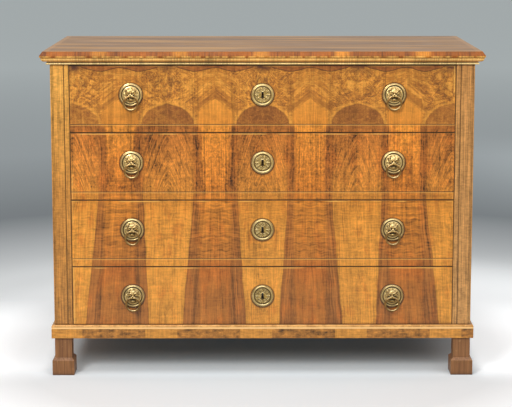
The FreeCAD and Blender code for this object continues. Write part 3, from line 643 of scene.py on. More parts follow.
burl_stops = [
    (0.12, (134, 80, 42)),
    (0.38, (176, 109, 50)),
    (0.58, (201, 131, 58)),
    (0.85, (228, 158, 78)),
]
house_stops = [
    (700, (210, 134, 58)),
    (770, (222, 148, 68)),
]
dome_stops = [
    (0.25, (116, 66, 38)),
    (0.5, (150, 92, 48)),
    (0.75, (196, 128, 66)),
]


def burl_noise(seam, leaf, height):
    """Colour of the plain burl: swirls, chevrons at the dark seam and plumes at the light one."""
    across = LEAF - seam
    swirl = cloud(seam / 30, leaf * 2, height / 19, detail=5, roughness=0.62, twist=1.6)
    chevron = cloud((height + across * 0.8) / 6.5, leaf, across / 60, twist=0.5)
    spread = (height - PLUME_ROOT).math("MAXIMUM", 6.0)
    plume = cloud(seam / spread * 7, leaf, height / 55, detail=3, roughness=0.6, twist=0.4)
    plume_share = seam.below(50, 95) * height.within(748, 768, 832, 852)
    chevron_share = seam.between(60, 95) * height.between(750, 780)
    chevron_share = chevron_share * (1 - height.between(796, 826) * 0.7)
    grit = cloud(seam / 4, leaf, height / 3, detail=3, roughness=0.6, twist=0.8)
    calm = seam.between(58, 98)
    tone = 0.47 + calm * 0.06 + swing(swirl, 2.7 - calm * 1.5)
    tone = tone + swing(chevron, chevron_share * 1.5) + swing(plume, plume_share * 1.7)
    tone = tone + swing(grit, 1.2 - calm * 0.6)
    curl = cloud(seam / 10, leaf, height / 7, detail=3, roughness=0.55, twist=2.2)
    curl_share = abs(curl - 0.5).below(0.006, 0.03) * (0.55 - calm * 0.25)
    return blend(curl_share, along(tone, 1.0, burl_stops), BURL_LIGHT)


def burl_figure(seam, leaf, height):
    """Colour of the top drawer's leaves."""
    across = LEAF - seam
    colour = burl_noise(seam, leaf, height)

    below = (PETAL_ROOT - height).math("MAXIMUM", 6.0)
    petals = thin_lines(cloud(seam / below * 5, leaf, below / 46, detail=2, twist=0.6), 0.045)
    petal_share = seam.below(38, 62) * height.within(782, 806, 842, 854)
    colour = blend(petals * petal_share * 0.6, colour, PETAL_LIGHT)

    lift = height - ARCH_FOOT + across * across / 150
    arches = thin_lines(cloud(lift / 15, leaf, across / 80, detail=2, twist=0.4), 0.05)
    arch_share = seam.between(62, 92) * height.within(785, 805, 838, 848)
    colour = blend(arches * arch_share * 0.5, colour, ARCH_LIGHT)

    wander = swing(cloud(seam / 18, leaf, height / 18, detail=3), 9)
    roof = GABLE_TOP - across * GABLE_SLOPE - height + wander * 0.5
    gable_shade = (0 - roof).within(4, 9, 15, 26) * seam.between(58, 80)
    colour = blend(gable_shade * 0.55, colour, GABLE_SHADE)
    house = roof.between(-1.5, 1.5) * (HOUSE_HALF + wander * 0.4 - across).between(-2, 2)
    colour = blend(house, colour, along(height, CHEST_HEIGHT, house_stops))

    wide = seam / DOME_HALF
    tall = (height - DOME_FOOT) / DOME_RISE
    tip = seam.below(0, 16) * 0.06
    reach = (wide * wide + tall * tall).math("SQRT") - tip + wander * 0.007
    rim_light = reach.within(0.97, 1.02, 1.05, 1.14)
    colour = blend(rim_light * 0.6, colour, DOME_RIM)
    dome = reach.below(0.95, 1.01) * (1 - abs(leaf).between(0.4, 0.6) * 0.45)
    knots = cloud(seam / 9, leaf, height / 8, detail=5, roughness=0.65, twist=1.2)
    dome_depth = 0.78 + cloud(seam / 40, leaf * 2, height / 30).between(0.35, 0.6) * 0.22
    colour = blend(dome * dome_depth, colour, along(knots, 1.0, dome_stops))

    wave = (across * (2 * math.pi / LINE_WAVE)).math("COSINE")
    line_height = LINE_HEIGHT + wave * 5 + seam.below(0, 34) * 13 + wander * 0.45
    above = height - line_height
    colour = blend(above.between(-0.5, 2.0) * 0.75, colour, OVER_LINE)
    stains = cloud(seam / 24, leaf * 4, height / 16, detail=3, roughness=0.6).between(0.42, 0.6)
    smudge = (seam.below(5, 32) * 0.7 + stains * 0.35) * height.between(836, 858)
    colour = blend(smudge, colour, SMUDGE)
    line = abs(above).below(0.5, 1.9)
    return blend(line * 0.85, colour, LINE_DARK)


print("burl starts at", BURL_FOOT)

# %% [markdown]
# Some marks belong to a place and not to a leaf: dark lines in the joints round the drawers, old
# wax with painted shade, a painted shadow under the bead of the cornice, and pale edges, rubbed
# where drawers rub and dusters pass and painted as highlights. They could be modelled, but they
# are thinner than the veneer, so they are drawn at their heights above the foot of each drawer.

# %% Joints round the drawers
DRAWER_FOOT = 142.4
DRAWER_STEP = 186.0
DRAWER_MIDDLE = 80.8


def drawer_rise(height):
    """The height above the middle of the nearest drawer front."""
    return (height - DRAWER_FOOT) % DRAWER_STEP - DRAWER_MIDDLE


def radius_from(across, rise):
    """The distance from the middle of a round plate."""
    return (across * across + rise * rise).math("SQRT")


def joint_lines(x, height):
    """Wax and painted shade in the joints and under the cornice; worn edges of rails and drawer tops
    with painted highlight.
    """
    above = (height - DRAWER_FOOT) % DRAWER_STEP
    under_rail = above.within(162.6, 163.4, 164.8, 165.6)
    wax_and_shade = above.below(0.4, 1.3) + above.between(184.6, 185.4) + under_rail
    wax_and_shade = wax_and_shade.math("MAXIMUM", abs(x).between(521.8, 522.8))
    # Painted shadow of the cornice's bead along the top of the top drawer.
    wax_and_shade = wax_and_shade.math("MAXIMUM", height.between(858.5, 860.5))
    # Painted highlight with some wear: pale lines along the edges of the drawers and rails.
    side_edge = abs(x).within(517.6, 518.4, 520.6, 521.4)
    rail_edge = above.within(181.6, 182.6, 184.0, 184.8)
    drawer_edge = above.within(157.6, 158.4, 160.2, 160.8)
    pale_edge_patches = cloud(x / 90, 1.0, height / 186, detail=3).between(0.44, 0.60)
    level_edges = rail_edge * 0.45 + drawer_edge * pale_edge_patches * 0.75
    return wax_and_shade, level_edges.math("MAXIMUM", side_edge * pale_edge_patches * 0.6)


print("drawer step in millimetres:", DRAWER_STEP)

# %% [markdown]
# Now trunk, burl and joints come together on the drawer fronts and on the rails between them, so
# that the figure runs on from piece to piece. Dark wax and a painted shadow lie round the brass
# plates, and what shows through a keyhole is painted nearly black, as painted shade. The veneer is
# a thin skin on a pine board: a little behind the front face its colour gives way to bare pine,
# which the drawer shows inside when it is open.

# %% Front veneer
FRONT_FACE = -260.0
VENEER_INNER = 1.2
PINE_OUTER = 1.8
PULL_MIDDLE = 357.0
PLATE_SHADE_DROP = 1.0
PLATE_EDGE = 31.5
PLATE_WAX_AND_SHADOW_EDGE = 35.5
SPREAD_FOOT = 0.965
PORE_LENGTH = 11
PORE_WIDTH = 0.6
RUBBED_AND_HIGHLIT_EDGE = paint(240, 184, 112)
JOINT_WAX_AND_SHADE = paint(52, 28, 14)
PLATE_WAX_AND_SHADOW = paint(56, 30, 16)
KEYHOLE_SHADE = paint(26, 18, 14)
PINE_DARK = (146, 104, 58)
PINE_LIGHT = (188, 144, 90)

front_veneer, start = new_finish("front_veneer")
spot = place_in_mm(start)
x, y, z = spot
fold, leaf, hand = mirrored_leaves(x * z.slope(TRUNK_FOOT, SAP_TOP, SPREAD_FOOT, 1.0))
seam = fold + swing(cloud(x / 70, 0.0, z / 95, detail=2), 9)
trunk_colour, shade = trunk_figure(seam, leaf, hand, z)
burl = z.between(BURL_FOOT - 1, BURL_FOOT + 1)
front_colour = blend(burl, trunk_colour, burl_figure(seam, leaf, z))
pores = drawn_out(spot, "Z", PORE_LENGTH, PORE_WIDTH, detail=1)
shade = shade + swing(pores, 0.35) + (0.5 - hand) * 0.06
depth = 1 + z.between(*SECOND_DRAWER[:2]) * 0.3 - burl * 0.6
front_colour = brighten(front_colour, 0.98 + (shade - 1) * depth)
wax_and_shade, worn_and_highlit = joint_lines(x, z)
# Painted highlight and wear on the edges, then wax and painted shade in the joints.
front_colour = blend(worn_and_highlit, front_colour, RUBBED_AND_HIGHLIT_EDGE)
front_colour = blend(wax_and_shade * 0.85, front_colour, JOINT_WAX_AND_SHADE)
key_rise = drawer_rise(z)
# Painted shadow with wax: a dark ring round each plate, centred a little low so that it is wider
# below.
key_radius = radius_from(x, key_rise + PLATE_SHADE_DROP)
pull_radius = radius_from(abs(x) - PULL_MIDDLE, key_rise + PLATE_SHADE_DROP)
plate_radius = key_radius.math("MINIMUM", pull_radius - 1)
plate_wax_and_shadow = plate_radius.below(PLATE_EDGE, PLATE_WAX_AND_SHADOW_EDGE)
front_colour = blend(plate_wax_and_shadow * 0.8, front_colour, PLATE_WAX_AND_SHADOW)
pine_grain = cloud(x / 160, y / 5, z / 6, detail=3)
pine = along(pine_grain, 1.0, [(0.3, PINE_DARK), (0.7, PINE_LIGHT)])
front_colour = blend((y - FRONT_FACE).between(VENEER_INNER, PINE_OUTER), front_colour, pine)
# Painted shade: the wood behind each keyhole is nearly black.
keyhole_shade = abs(x).below(7, 9) * abs(key_rise).below(12, 14)
front_colour = blend(keyhole_shade, front_colour, KEYHOLE_SHADE)
polish(start, front_colour, pores * 0.6 + shade * 0.4, VENEER_DULL, wear_and_highlight=0.8)
dress(front_veneer, "drawer_rails", *in_each_drawer("front"))

# %% [markdown]
# The stiles at both ends of the front are plainer walnut with the grain upright. The left one is
# more golden than the right one and paler towards the top, and both have the cross ripple that
# polishers call fiddleback. Each could have a finish of its own; one finish that asks for the
# side keeps them alike in all but the tone.

# %% Stile veneer
STILE_INNER = 525.0
left_stops = [
    (140, (174, 120, 68)),
    (520, (191, 130, 68)),
    (820, (226, 164, 90)),
]
right_stops = [
    (140, (192, 142, 98)),
    (480, (188, 136, 92)),
    (820, (196, 140, 92)),
]
stile_veneer, start = new_finish("stile_veneer")
spot = place_in_mm(start)
x, y, z = spot
inset = abs(x) - STILE_INNER
right_hand = x.between(-1, 1)
left_tone = along(z, CHEST_HEIGHT, left_stops)
right_tone = along(z, CHEST_HEIGHT, right_stops)
stile_colour = blend(right_hand, left_tone, right_tone)
stripes = cloud(inset / 4.0, right_hand * 5, z / 160, detail=4, roughness=0.65)
ripple = cloud(inset / 14, right_hand * 9, z / 4.4, detail=2)
mottle = cloud(inset / 16, right_hand * 3, z / 26, detail=4, roughness=0.6)
pores = drawn_out(spot, "Z", PORE_LENGTH, PORE_WIDTH, detail=1)
band = inset.within(40, 43, 44.6, 46)
shade = 1 + swing(stripes, 2.5) + swing(ripple, 0.9) + swing(mottle, 1.1)
shade = shade + swing(pores, 0.35) - band * 0.22 + inset.between(45.5, 46.5) * 0.10
stile_colour = brighten(stile_colour, shade)
polish(start, stile_colour, pores * 0.6 + stripes * 0.4, VENEER_DULL, wear_and_highlight=0.6)
dress(stile_veneer, "stile_left", "stile_right")

# %% [markdown]
# The sides are veneered in the same way as the front, with wider and calmer leaves that mirror
# each other from the front edge to the back. One wide board could be drawn instead, but leaves
# side by side suit the front.

# %% Side veneer
SIDE_LEAF = 136.0
SIDE_FOOT = 100.0
SIDE_TOP = 880.0
SIDE_SAP_NARROW = 30.0
SIDE_SAP_WIDE = 58.0
DARK_SPAN = 110.0
pale_stops = [
    (140, (206, 140, 70)),
    (860, (198, 130, 62)),
]
dark_stops = [
    (0, (142, 88, 46)),
    (30, (158, 98, 48)),
    (80, (176, 112, 54)),
]
side_veneer, start = new_finish("side_veneer")
spot = place_in_mm(start)
x, y, z = spot
depth = y - FRONT_FACE
wander = swing(cloud(depth / 60, x / 400, z / 120), 16)
seam = depth.math("PINGPONG", SIDE_LEAF) + wander
from_edge = seam - z.slope(SIDE_FOOT, SIDE_TOP, SIDE_SAP_NARROW, SIDE_SAP_WIDE)
heart = from_edge.between(-3, 3)
pale = along(z, CHEST_HEIGHT, pale_stops)
dark = along(from_edge, DARK_SPAN, dark_stops)
stripes = cloud(from_edge / 4.0, x / 300, z / 300, detail=4, roughness=0.65)
ripple = cloud(depth / 40, x / 300, z / 4.6, detail=2)
pores = drawn_out(spot, "Z", PORE_LENGTH, PORE_WIDTH, detail=1)
blotches = cloud(depth / 40, x / 300, z / 90, detail=4, roughness=0.6)
shade = 1 + swing(stripes, 1.0) + swing(ripple, 0.35) + swing(pores, 0.35)
shade = shade + swing(blotches, 0.6)
side_colour = brighten(blend(heart, pale, dark), shade)
polish(start, side_colour, pores * 0.6 + stripes * 0.4, VENEER_DULL)
dress(side_veneer, "side_panel_left", "side_panel_right")

# %% [markdown]
# The edge of the top and the moulding under it are cross-banded: short pieces of veneer whose
# grain runs across the edge, with a paler piece now and then. The plinth has the same banding in
# longer pieces, pale and dark by turns. Their runs turn the corner, so the front follows X and
# the sides follow Y.

# %% Cross-banding
SIDE_RUN = 700


def run_along(start, x, y):
    """The distance along a moulding that runs round the chest: X on the front, Y on the sides."""
    facing = start.node("ShaderNodeTexCoord", output="Normal")
    on_side = abs(facing.axis("X")).between(0.70, 0.72)
    return x * (1 - on_side) + (y + SIDE_RUN) * on_side


def cross_grain(run, level):
    """Streaks across a moulding, with soft changes along it."""
    streaks = cloud(run / 1.8, level / 60, 0.0, detail=4, roughness=0.65)
    patches = cloud(run / 60, level / 200, 3.0, detail=3)
    return 1 + swing(streaks, 2.0) + swing(patches, 1.6)


print("the run along the sides starts at", SIDE_RUN)

# %% [markdown]
# On the top the grain runs from end to end, with a paler band across each end. Face and edge are
# one board here, so they could be two materials on two sets of faces; one finish that asks which
# way the surface points needs no change to the board. What points up gets the long grain, and the
# rest gets the cross-banding.

# %% Top veneer
TOP_PATCH = 217.5
END_BAND = paint(186, 136, 88)
BAND_BROWN = paint(150, 82, 20)
BAND_DARK = paint(78, 36, 12)
BAND_LIGHT = paint(200, 130, 50)
RUBBED_AND_HIGHLIT_LOW = paint(240, 184, 110)
top_stops = [
    (0.25, (100, 64, 24)),
    (0.5, (150, 102, 44)),
    (0.75, (194, 140, 70)),
]
top_veneer, start = new_finish("top_veneer")
spot = place_in_mm(start)
x, y, z = spot
facing = start.node("ShaderNodeTexCoord", output="Normal")
upward = facing.axis("Z").between(0.88, 0.96)
drift = swing(cloud(x / 260, y / 90, 0.0), 60)
grain = cloud(x / 420, (y + drift) / 5, z / 5, detail=5, roughness=0.62)
broad = cloud(x / 500, y / 60, 4.0, detail=3)
flat_colour = along(grain * 0.8 + broad * 1.2 - 0.5, 1.0, top_stops)
end_band = abs(x).between(577, 579)
flat_colour = blend(end_band * 0.5, flat_colour, END_BAND)
run = run_along(start, x, y)
light_piece = ((run + 4) * (2 * math.pi / TOP_PATCH)).math("COSINE").between(0.72, 0.95)
dark_piece = cloud(run / 34, 7.0, 0.0, detail=4, roughness=0.7).between(0.5, 0.66)
edge_colour = blend(dark_piece * 0.8, BAND_BROWN, BAND_DARK)
edge_colour = blend(light_piece * 0.7, edge_colour, BAND_LIGHT)
# Painted highlight with some wear: pale patches along the low edge of the top board.
worn_and_highlit_low = z.below(886.5, 889) * cloud(run / 24, 2.0, 0.0, detail=3).between(0.38, 0.58)
edge_colour = blend(worn_and_highlit_low * 0.8, edge_colour, RUBBED_AND_HIGHLIT_LOW)
edge_colour = brighten(edge_colour, cross_grain(run * 0.5, z * 2))
pores = drawn_out(spot, "X", PORE_LENGTH, PORE_WIDTH, detail=1)
top_colour = blend(upward, edge_colour, brighten(flat_colour, 1 + swing(pores, 0.16)))
top_relief = pores * 0.5 + grain * 0.5
top_dull = 0.62 - upward * 0.30
polish(start, top_colour, top_relief, top_dull, coat=upward * 0.06, wear_and_highlight=0.2)
dress(top_veneer, "top_board")

# %% [markdown]
# The cornice is a bead with a quarter round above it. Both ridges are painted almost white as
# painted highlights, with a little rubbing, and the corners are painted dark as painted shade. A
# mask from worn edges would find them, but the moulding is only some pixels high, so the colours
# are given by height above its foot, and the cross grain streaks them.

# %% Cornice veneer
CORNICE_FOOT = 860
CORNICE_SPAN = 30.0
# Pale stops are painted highlights on the bead and the round, dark stops painted shade in the
# corners.
cornice_tone_and_light_stops = [
    (4.2, (160, 104, 60)),
    (5.4, (255, 224, 176)),
    (8.6, (255, 230, 184)),
    (9.6, (176, 116, 58)),
    (12.5, (196, 134, 72)),
    (16.0, (222, 162, 92)),
    (19.5, (255, 206, 140)),
    (22.0, (206, 142, 74)),
    (23.4, (130, 78, 34)),
]
cornice_veneer, start = new_finish("cornice_veneer")
x, y, z = place_in_mm(start)
run = run_along(start, x, y)
cornice_colour = along(z - CORNICE_FOOT, CORNICE_SPAN, cornice_tone_and_light_stops)
cornice_colour = brighten(cornice_colour, cross_grain(run, z))
polish(start, cornice_colour, cloud(run / 1.2, 0.0, z / 30), dullness=0.34, dirt_and_shade=0.25)
dress(cornice_veneer, "cornice")

# %% [markdown]
# On the plinth pale pieces and longer dark ones follow each other at an even step. Each could be
# a piece of its own; here the distance from the middle of the nearest pale piece says which of
# the two a point belongs to. The rounded upper edge is painted pale, with a painted highlight.

# %% Plinth veneer
PLINTH_HALF_PERIOD = 131.0
PLINTH_OFFSET = 18.0
PALE_HALF = 44.0
JOINT_HALF = 1.5
PLINTH_PALE = paint(201, 138, 68)
PLINTH_DARK = paint(162, 108, 54)
ROUND_DULL = paint(190, 136, 84)
ROUND_PALE = paint(228, 172, 116)
ROUND_HIGHLIGHT = paint(252, 206, 164)
plinth_veneer, start = new_finish("plinth_veneer")
x, y, z = place_in_mm(start)
run = run_along(start, x, y)
from_pale = (run + PLINTH_OFFSET).math("PINGPONG", PLINTH_HALF_PERIOD)
dark_piece = from_pale.between(PALE_HALF - JOINT_HALF, PALE_HALF + JOINT_HALF)
plinth_colour = blend(dark_piece, PLINTH_PALE, PLINTH_DARK)
streaks = cloud(run / 4.0, 0.0, z / 90, detail=4, roughness=0.65)
ripple = cloud(run / 30, y / 100, z / 5.0, detail=2)
blotches = cloud(run / 16, y / 100, z / 9, detail=4, roughness=0.65)
shade = 1 + swing(streaks, 1.0) + swing(ripple, 0.9)
shade = shade + swing(blotches, 1.2 + dark_piece * 2.2)
plinth_colour = brighten(plinth_colour, shade)
# Painted light: the rounded upper edge is paler, with a painted highlight line.
lit_round_top = blend(shade.between(0.6, 1.4), ROUND_DULL, ROUND_PALE)
plinth_colour = blend(z.between(130, 132.5), plinth_colour, lit_round_top)
highlight_line = z.within(131, 133, 134.5, 137)
plinth_colour = blend(highlight_line, plinth_colour, ROUND_HIGHLIGHT)
polish(start, plinth_colour, streaks, VENEER_DULL)
dress(plinth_veneer, "base_frame")

# %% [markdown]
# The feet are solid walnut, darker and redder than the veneer, and knocked about by two centuries
# of brooms. Their edges are pale, partly worn and partly a painted highlight, and the colour grows
# darker towards the bottom. Dents could be modelled, but at this size they are marks more than
# shapes, so patches of noise are rubbed pale.

# %% Foot wood
KNOCK_PALE = paint(196, 156, 122)
SOLE_DARK = paint(96, 62, 44)
foot_stops = [
    (0.28, (104, 66, 46)),
    (0.5, (137, 93, 66)),
    (0.72, (158, 112, 82)),
]
foot_wood, start = new_finish("foot_wood")
spot = place_in_mm(start)
grain = drawn_out(spot, "Z", 120, 4, detail=4, roughness=0.65)
knocks = drawn_out(spot, "Z", 12, 16, detail=4, roughness=0.7)
foot_colour = along(grain, 1.0, foot_stops)
foot_colour = blend(knocks.between(0.60, 0.72) * 0.45, foot_colour, KNOCK_PALE)
foot_colour = blend(spot[2].below(0, 16) * 0.35, foot_colour, SOLE_DARK)
polish(start, foot_colour, grain * 0.5 + knocks * 0.5, dullness=0.50, coat=0.08, wear_and_highlight=0.6)
dress(foot_wood, "feet")

# %% [markdown]
# Behind the veneer the chest is spruce, left bare and gone brown with age. Its yearly rings show
# as darker lines along the board, pointed where the saw cut through them. They are the contour
# lines of soft noise that is stretched along the grain. The finish is made once for each
# direction in which boards lie, and for the back it starts afresh at every board, so that the
# five boards can be told apart.

# %% Inner wood
RINGS = 15.0
RING_LENGTH = 620
RING_WIDTH = 38
BOARD_GRIME = 3.0
SPRUCE_PALE = paint(204, 164, 112)
SPRUCE_RING = paint(156, 110, 64)
SPRUCE_STAIN = paint(126, 88, 54)
JOINT_DUST = paint(70, 46, 28)


def bare_spruce(name, along_axis, first_edge=0.0, pitch=0.0):
    """Bare spruce with its grain along X, Y or Z; pitch is the step from board to board along X."""
    finish, start = new_finish(name)
    spot = place_in_mm(start)
    sizes = [RING_LENGTH if axis == along_axis else RING_WIDTH for axis in "XYZ"]
    stretched = [value / size for value, size in zip(spot, sizes)]
    if pitch:
        count = (spot[0] - first_edge) / pitch
        board = count.math("FLOOR")
        stretched[1] = stretched[1] + board * 7.3
    growth = cloud(*stretched, detail=2, roughness=0.4, twist=0.3)
    ring_line = (growth * RINGS).math("FRACT")
    late_wood = ring_line.within(0.35, 0.92, 0.94, 1.0)
    colour = blend(late_wood * 0.7, SPRUCE_PALE, SPRUCE_RING)
    fibres = drawn_out(spot, along_axis, 40, 0.9)
    stains = drawn_out(spot, along_axis, 140, 140, detail=4, roughness=0.6)
    colour = blend(stains.between(0.46, 0.70) * 0.45, colour, SPRUCE_STAIN)
    shade = 0.94 + swing(fibres, 0.5) + swing(growth, 0.5)
    if pitch:
        shade = shade + swing(cloud(board * 1.7, 0.5, 0.5), 1.1)
        from_joint = count.math("PINGPONG", 0.5) * pitch
        colour = blend(from_joint.below(0.8, BOARD_GRIME), colour, JOINT_DUST)
    relief = fibres * 0.6 + late_wood * 0.4
    close_finish(
        start,
        {
            "Base Color": brighten(colour, shade),
            "Roughness": 0.68 + swing(fibres, 0.2),
            "Normal": fine_relief(start, relief, strength=0.4, depth=0.4 * MM),
        },
    )
    return finish


BACK_BOARD_COUNT = 5
BOARD_GAP = 0.6
back_low, back_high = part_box("back_boards")
back_pitch = ((back_high.x - back_low.x) / MM + BOARD_GAP) / BACK_BOARD_COUNT
first_edge = back_low.x / MM - BOARD_GAP / 2
dress(bare_spruce("spruce_lengthwise", "X"), "top_rails", "bottom_board", "drawer_stops")
dress(bare_spruce("spruce_drawer_back", "X"), *in_each_drawer("back"))
dress(bare_spruce("spruce_drawer_bottom", "X"), *in_each_drawer("bottom"))
dress(bare_spruce("spruce_deep", "Y"), "drawer_runners", "drawer_guides")
dress(bare_spruce("spruce_drawer_side", "Y"), *in_each_drawer("sides"))
dress(bare_spruce("spruce_upright", "Z"), "corner_blocks")
dress(bare_spruce("spruce_back", "Z", first_edge, back_pitch), "back_boards")

# %% [markdown]
# The plates, rings and keyhole plates are cast brass. Handling keeps bright what stands out, and
# tarnish stays dark in the hollows. Over that the finish paints light: a painted highlight on what
# stands out and what faces up, and painted shade in the hollows, the turned groove, the undersides
# and the lower plates. Both could be painted by hand; here an Ambient Occlusion node, turned a
# little upwards so that its shade falls from above, finds the hollows, so the same finish suits
# the masks, the leaves and the plain rings.

# %% Brass
SHADE_FROM_ABOVE_TILT = (0.0, -0.25, 0.55)
WREATH_GROOVE = 22.4
SPECK_BROWN = paint(130, 94, 42)
UNDERSIDE_SHADE = paint(104, 72, 30)
UPPER_HIGHLIGHT = paint(252, 236, 184)
RUBBED_AND_HIGHLIT_RIDGE = paint(252, 232, 172)
TARNISH_AND_SHADE = paint(46, 26, 10)


def cast_brass(name, hollow_size, dull, bright, groove=0.0):
    """Rubbed brass between two colours with painted light, and tarnish and painted shade in hollows
    of about hollow_size millimetres.

    Painted shade fills a turned groove of radius groove round the middle of a drawer.
    """
    finish, start = new_finish(name)
    spot = place_in_mm(start)
    x, y, z = spot
    facing = start.node("ShaderNodeNewGeometry", output="Normal")
    # Painted shade with tarnish: the occlusion is turned upwards, so hollows under an overhang are
    # darkest.
    tilted_up_for_shade = facing.vector("ADD", SHADE_FROM_ABOVE_TILT).vector("NORMALIZE")
    openness = start.node(
        "ShaderNodeAmbientOcclusion",
        {"samples": 8, "only_local": True},
        {"Distance": hollow_size * MM, "Normal": tilted_up_for_shade},
        output="AO",
    )
    rise = facing.axis("Z")
    patches = drawn_out(spot, "Z", 9, 9, detail=4, roughness=0.6)
    specks = drawn_out(spot, "Z", 1.2, 1.2, detail=3, roughness=0.6)
    colour = blend(patches.between(0.35, 0.65), paint(*dull), paint(*bright))
    colour = blend(specks.between(0.55, 0.74) * 0.5, colour, SPECK_BROWN)
    # Painted light: undersides get painted shade and what faces up a painted highlight.
    colour = blend((0 - rise).between(0.1, 0.8) * 0.8, colour, UNDERSIDE_SHADE)
    colour = blend(rise.between(0.15, 0.75) * 0.6, colour, UPPER_HIGHLIGHT)
    # Painted highlight with rubbing on the ridges.
    ridge = start.node("ShaderNodeNewGeometry", output="Pointiness").between(0.51, 0.57)
    colour = blend(ridge * 0.75, colour, RUBBED_AND_HIGHLIT_RIDGE)
    # Painted shade: the lower a plate, the darker, as the light falls off downwards.
    colour = brighten(colour, 0.72 + 0.28 * z.between(260, 720))
    # Painted shade in the turned groove of the keyhole plates.
    groove_shade = abs(radius_from(x, drawer_rise(z)) - groove).below(0.9, 1.9)
    tarnish_and_shade = openness.below(0.46, 0.90).math("MAXIMUM", groove_shade * 0.75)
    close_finish(
        start,
        {
            "Base Color": blend(tarnish_and_shade, colour, TARNISH_AND_SHADE),
            "Metallic": 0.85 - tarnish_and_shade * 0.4,
            "Roughness": 0.30 + tarnish_and_shade * 0.3 + swing(specks, 0.3),
            "Normal": fine_relief(start, specks, strength=0.2, depth=0.15 * MM),
        },
    )
    return finish


mask_brass = cast_brass("mask_brass", 5.0, dull=(204, 160, 84), bright=(234, 196, 122))
ring_brass = cast_brass("ring_brass", 4.0, dull=(150, 110, 58), bright=(184, 142, 80))
leaf_brass = cast_brass(
    "leaf_brass", 1.6, dull=(206, 166, 82), bright=(240, 206, 134), groove=WREATH_GROOVE
)
dress(ring_brass, *in_each_drawer("ring_left", "ring_right"))

# %% [markdown]
# Inside the drawers are iron locks and square nuts, forged and filed, brown with old rust in
# places. Rust and bare iron could be two materials; one that lets noise choose between metal and
# dull brown has no hard border.

# %% Iron
BARE_IRON = paint(92, 90, 88)
RUST_BROWN = paint(98, 62, 40)
iron, start = new_finish("iron")
spot = place_in_mm(start)
rust = drawn_out(spot, "X", 12, 12, detail=5, roughness=0.65)
file_marks = drawn_out(spot, "X", 9, 0.5)
rusty = rust.between(0.48, 0.66)
iron_colour = blend(rusty, BARE_IRON, RUST_BROWN)
iron_relief = file_marks * 0.5 + rust
close_finish(
    start,
    {
        "Base Color": brighten(iron_colour, 1 + swing(file_marks, 0.5)),
        "Metallic": 1 - rusty * 0.8,
        "Roughness": 0.42 + rusty * 0.4,
        "Normal": fine_relief(start, iron_relief, strength=0.4, depth=0.2 * MM),
    },
)
dress(iron, *in_each_drawer("pull_nuts", "lock_case", "lock_bolt"))

# %% [markdown]
# A founder turns the round plate and models the relief in wax. The same order works here. A
# filled circle is stepped inwards with inset and moved out a little each time, which turns a
# plate with a rounded rim; each step is a radius and a height in millimetres, read from the
# photograph's light and shade across the rim.

# %% Turned plates
TURNED_SIDES = 120
MERGE = 0.001 * MM


def start_piece():
    """Leaves edit mode and deselects everything, so that operators meet only what comes next."""
    if bpy.context.object and bpy.context.object.mode != "OBJECT":
        bpy.ops.object.mode_set(mode="OBJECT")
    bpy.ops.object.select_all(action="DESELECT")


def turned_plate(steps):
    """A round plate that faces the front, from pairs of radius and height, edge first."""
    start_piece()
    radius, height = steps[0]
    bpy.ops.mesh.primitive_circle_add(vertices=TURNED_SIDES, radius=radius * MM, fill_type="NGON")
    plate = bpy.context.object
    plate.rotation_euler = (math.pi / 2, 0, 0)
    bpy.ops.object.transform_apply(location=False, rotation=True, scale=False)
    bpy.ops.object.mode_set(mode="EDIT")
    bpy.ops.mesh.extrude_region_move(TRANSFORM_OT_translate={"value": (0, -height * MM, 0)})
    for next_radius, next_height in steps[1:]:
        bpy.ops.mesh.inset(thickness=(radius - next_radius) * MM)
        bpy.ops.transform.translate(value=(0, (height - next_height) * MM, 0))
        radius, height = next_radius, next_height
    bpy.ops.mesh.select_all(action="SELECT")
    bpy.ops.mesh.remove_doubles(threshold=MERGE)
    bpy.ops.mesh.normals_make_consistent(inside=False)
    bpy.ops.object.mode_set(mode="OBJECT")
    return plate


PULL_STEPS = (
    (31.0, 0.9),
    (30.2, 1.2),
    (29.8, 2.4),
    (29.2, 3.6),
    (28.4, 4.3),
    (27.5, 4.5),
    (26.8, 4.2),
    (26.3, 3.6),
    (25.9, 2.6),
    (25.6, 0.8),
    (23.5, 0.8),
    (23.3, 2.4),
    (22.7, 2.9),
    (18.0, 3.3),
    (10.0, 3.6),
)
mask_plate = turned_plate(PULL_STEPS)
print("pull plate:", len(mask_plate.data.polygons), "faces")

# %% [markdown]
# The lion is built up as in wax, from balls that are pressed flat and pushed into each other.
# Sculpting would do as well, but sizes in numbers keep the lion clear of its ring, and both
# halves of the face alike.


# %% Wax lumps
def lump(place, half_sizes, turn=0.0, tilt=0.0):
    """A ball at (across, out, up), pressed to half sizes in the same order, in millimetres."""
    across, out, up = place
    bpy.ops.mesh.primitive_uv_sphere_add(segments=20, ring_count=12, radius=1.0)
    ball = bpy.context.object
    ball.location = (across * MM, -out * MM, up * MM)
    ball.rotation_euler = (math.radians(tilt), math.radians(turn), 0)
    ball.scale = [size * MM for size in half_sizes]
    bpy.ops.object.transform_apply(location=True, rotation=True, scale=True)
    return ball


def pair(place, half_sizes, turn=0.0, tilt=0.0):
    """The same lump on both sides of the face."""
    across, out, up = place
    return [
        lump((across, out, up), half_sizes, -turn, tilt),
        lump((-across, out, up), half_sizes, turn, tilt),
    ]


print("lumps are made by", lump.__name__, "and", pair.__name__)

# %% [markdown]
# The mane is tapered locks. A lock is a small circle that is extruded five times, shrunk and
# pushed aside each time, so it ends in a bent tip. Hair curves would be thin threads, while a
# founder cuts few thick locks. One is modelled, and its copies radiate from circles round the
# face, bent left and right by turns.

# %% Locks of the mane
LOCK_ROOT = 1.9
LOCK_LEAN = -9
UNDER_MOUTH = 0.15
LOCK_STEPS = (
    (1.8, 0.1, 1.15),
    (2.0, 0.4, 0.95),
    (2.0, 0.8, 0.80),
    (1.6, 1.0, 0.62),
    (1.2, 0.8, 0.35),
)


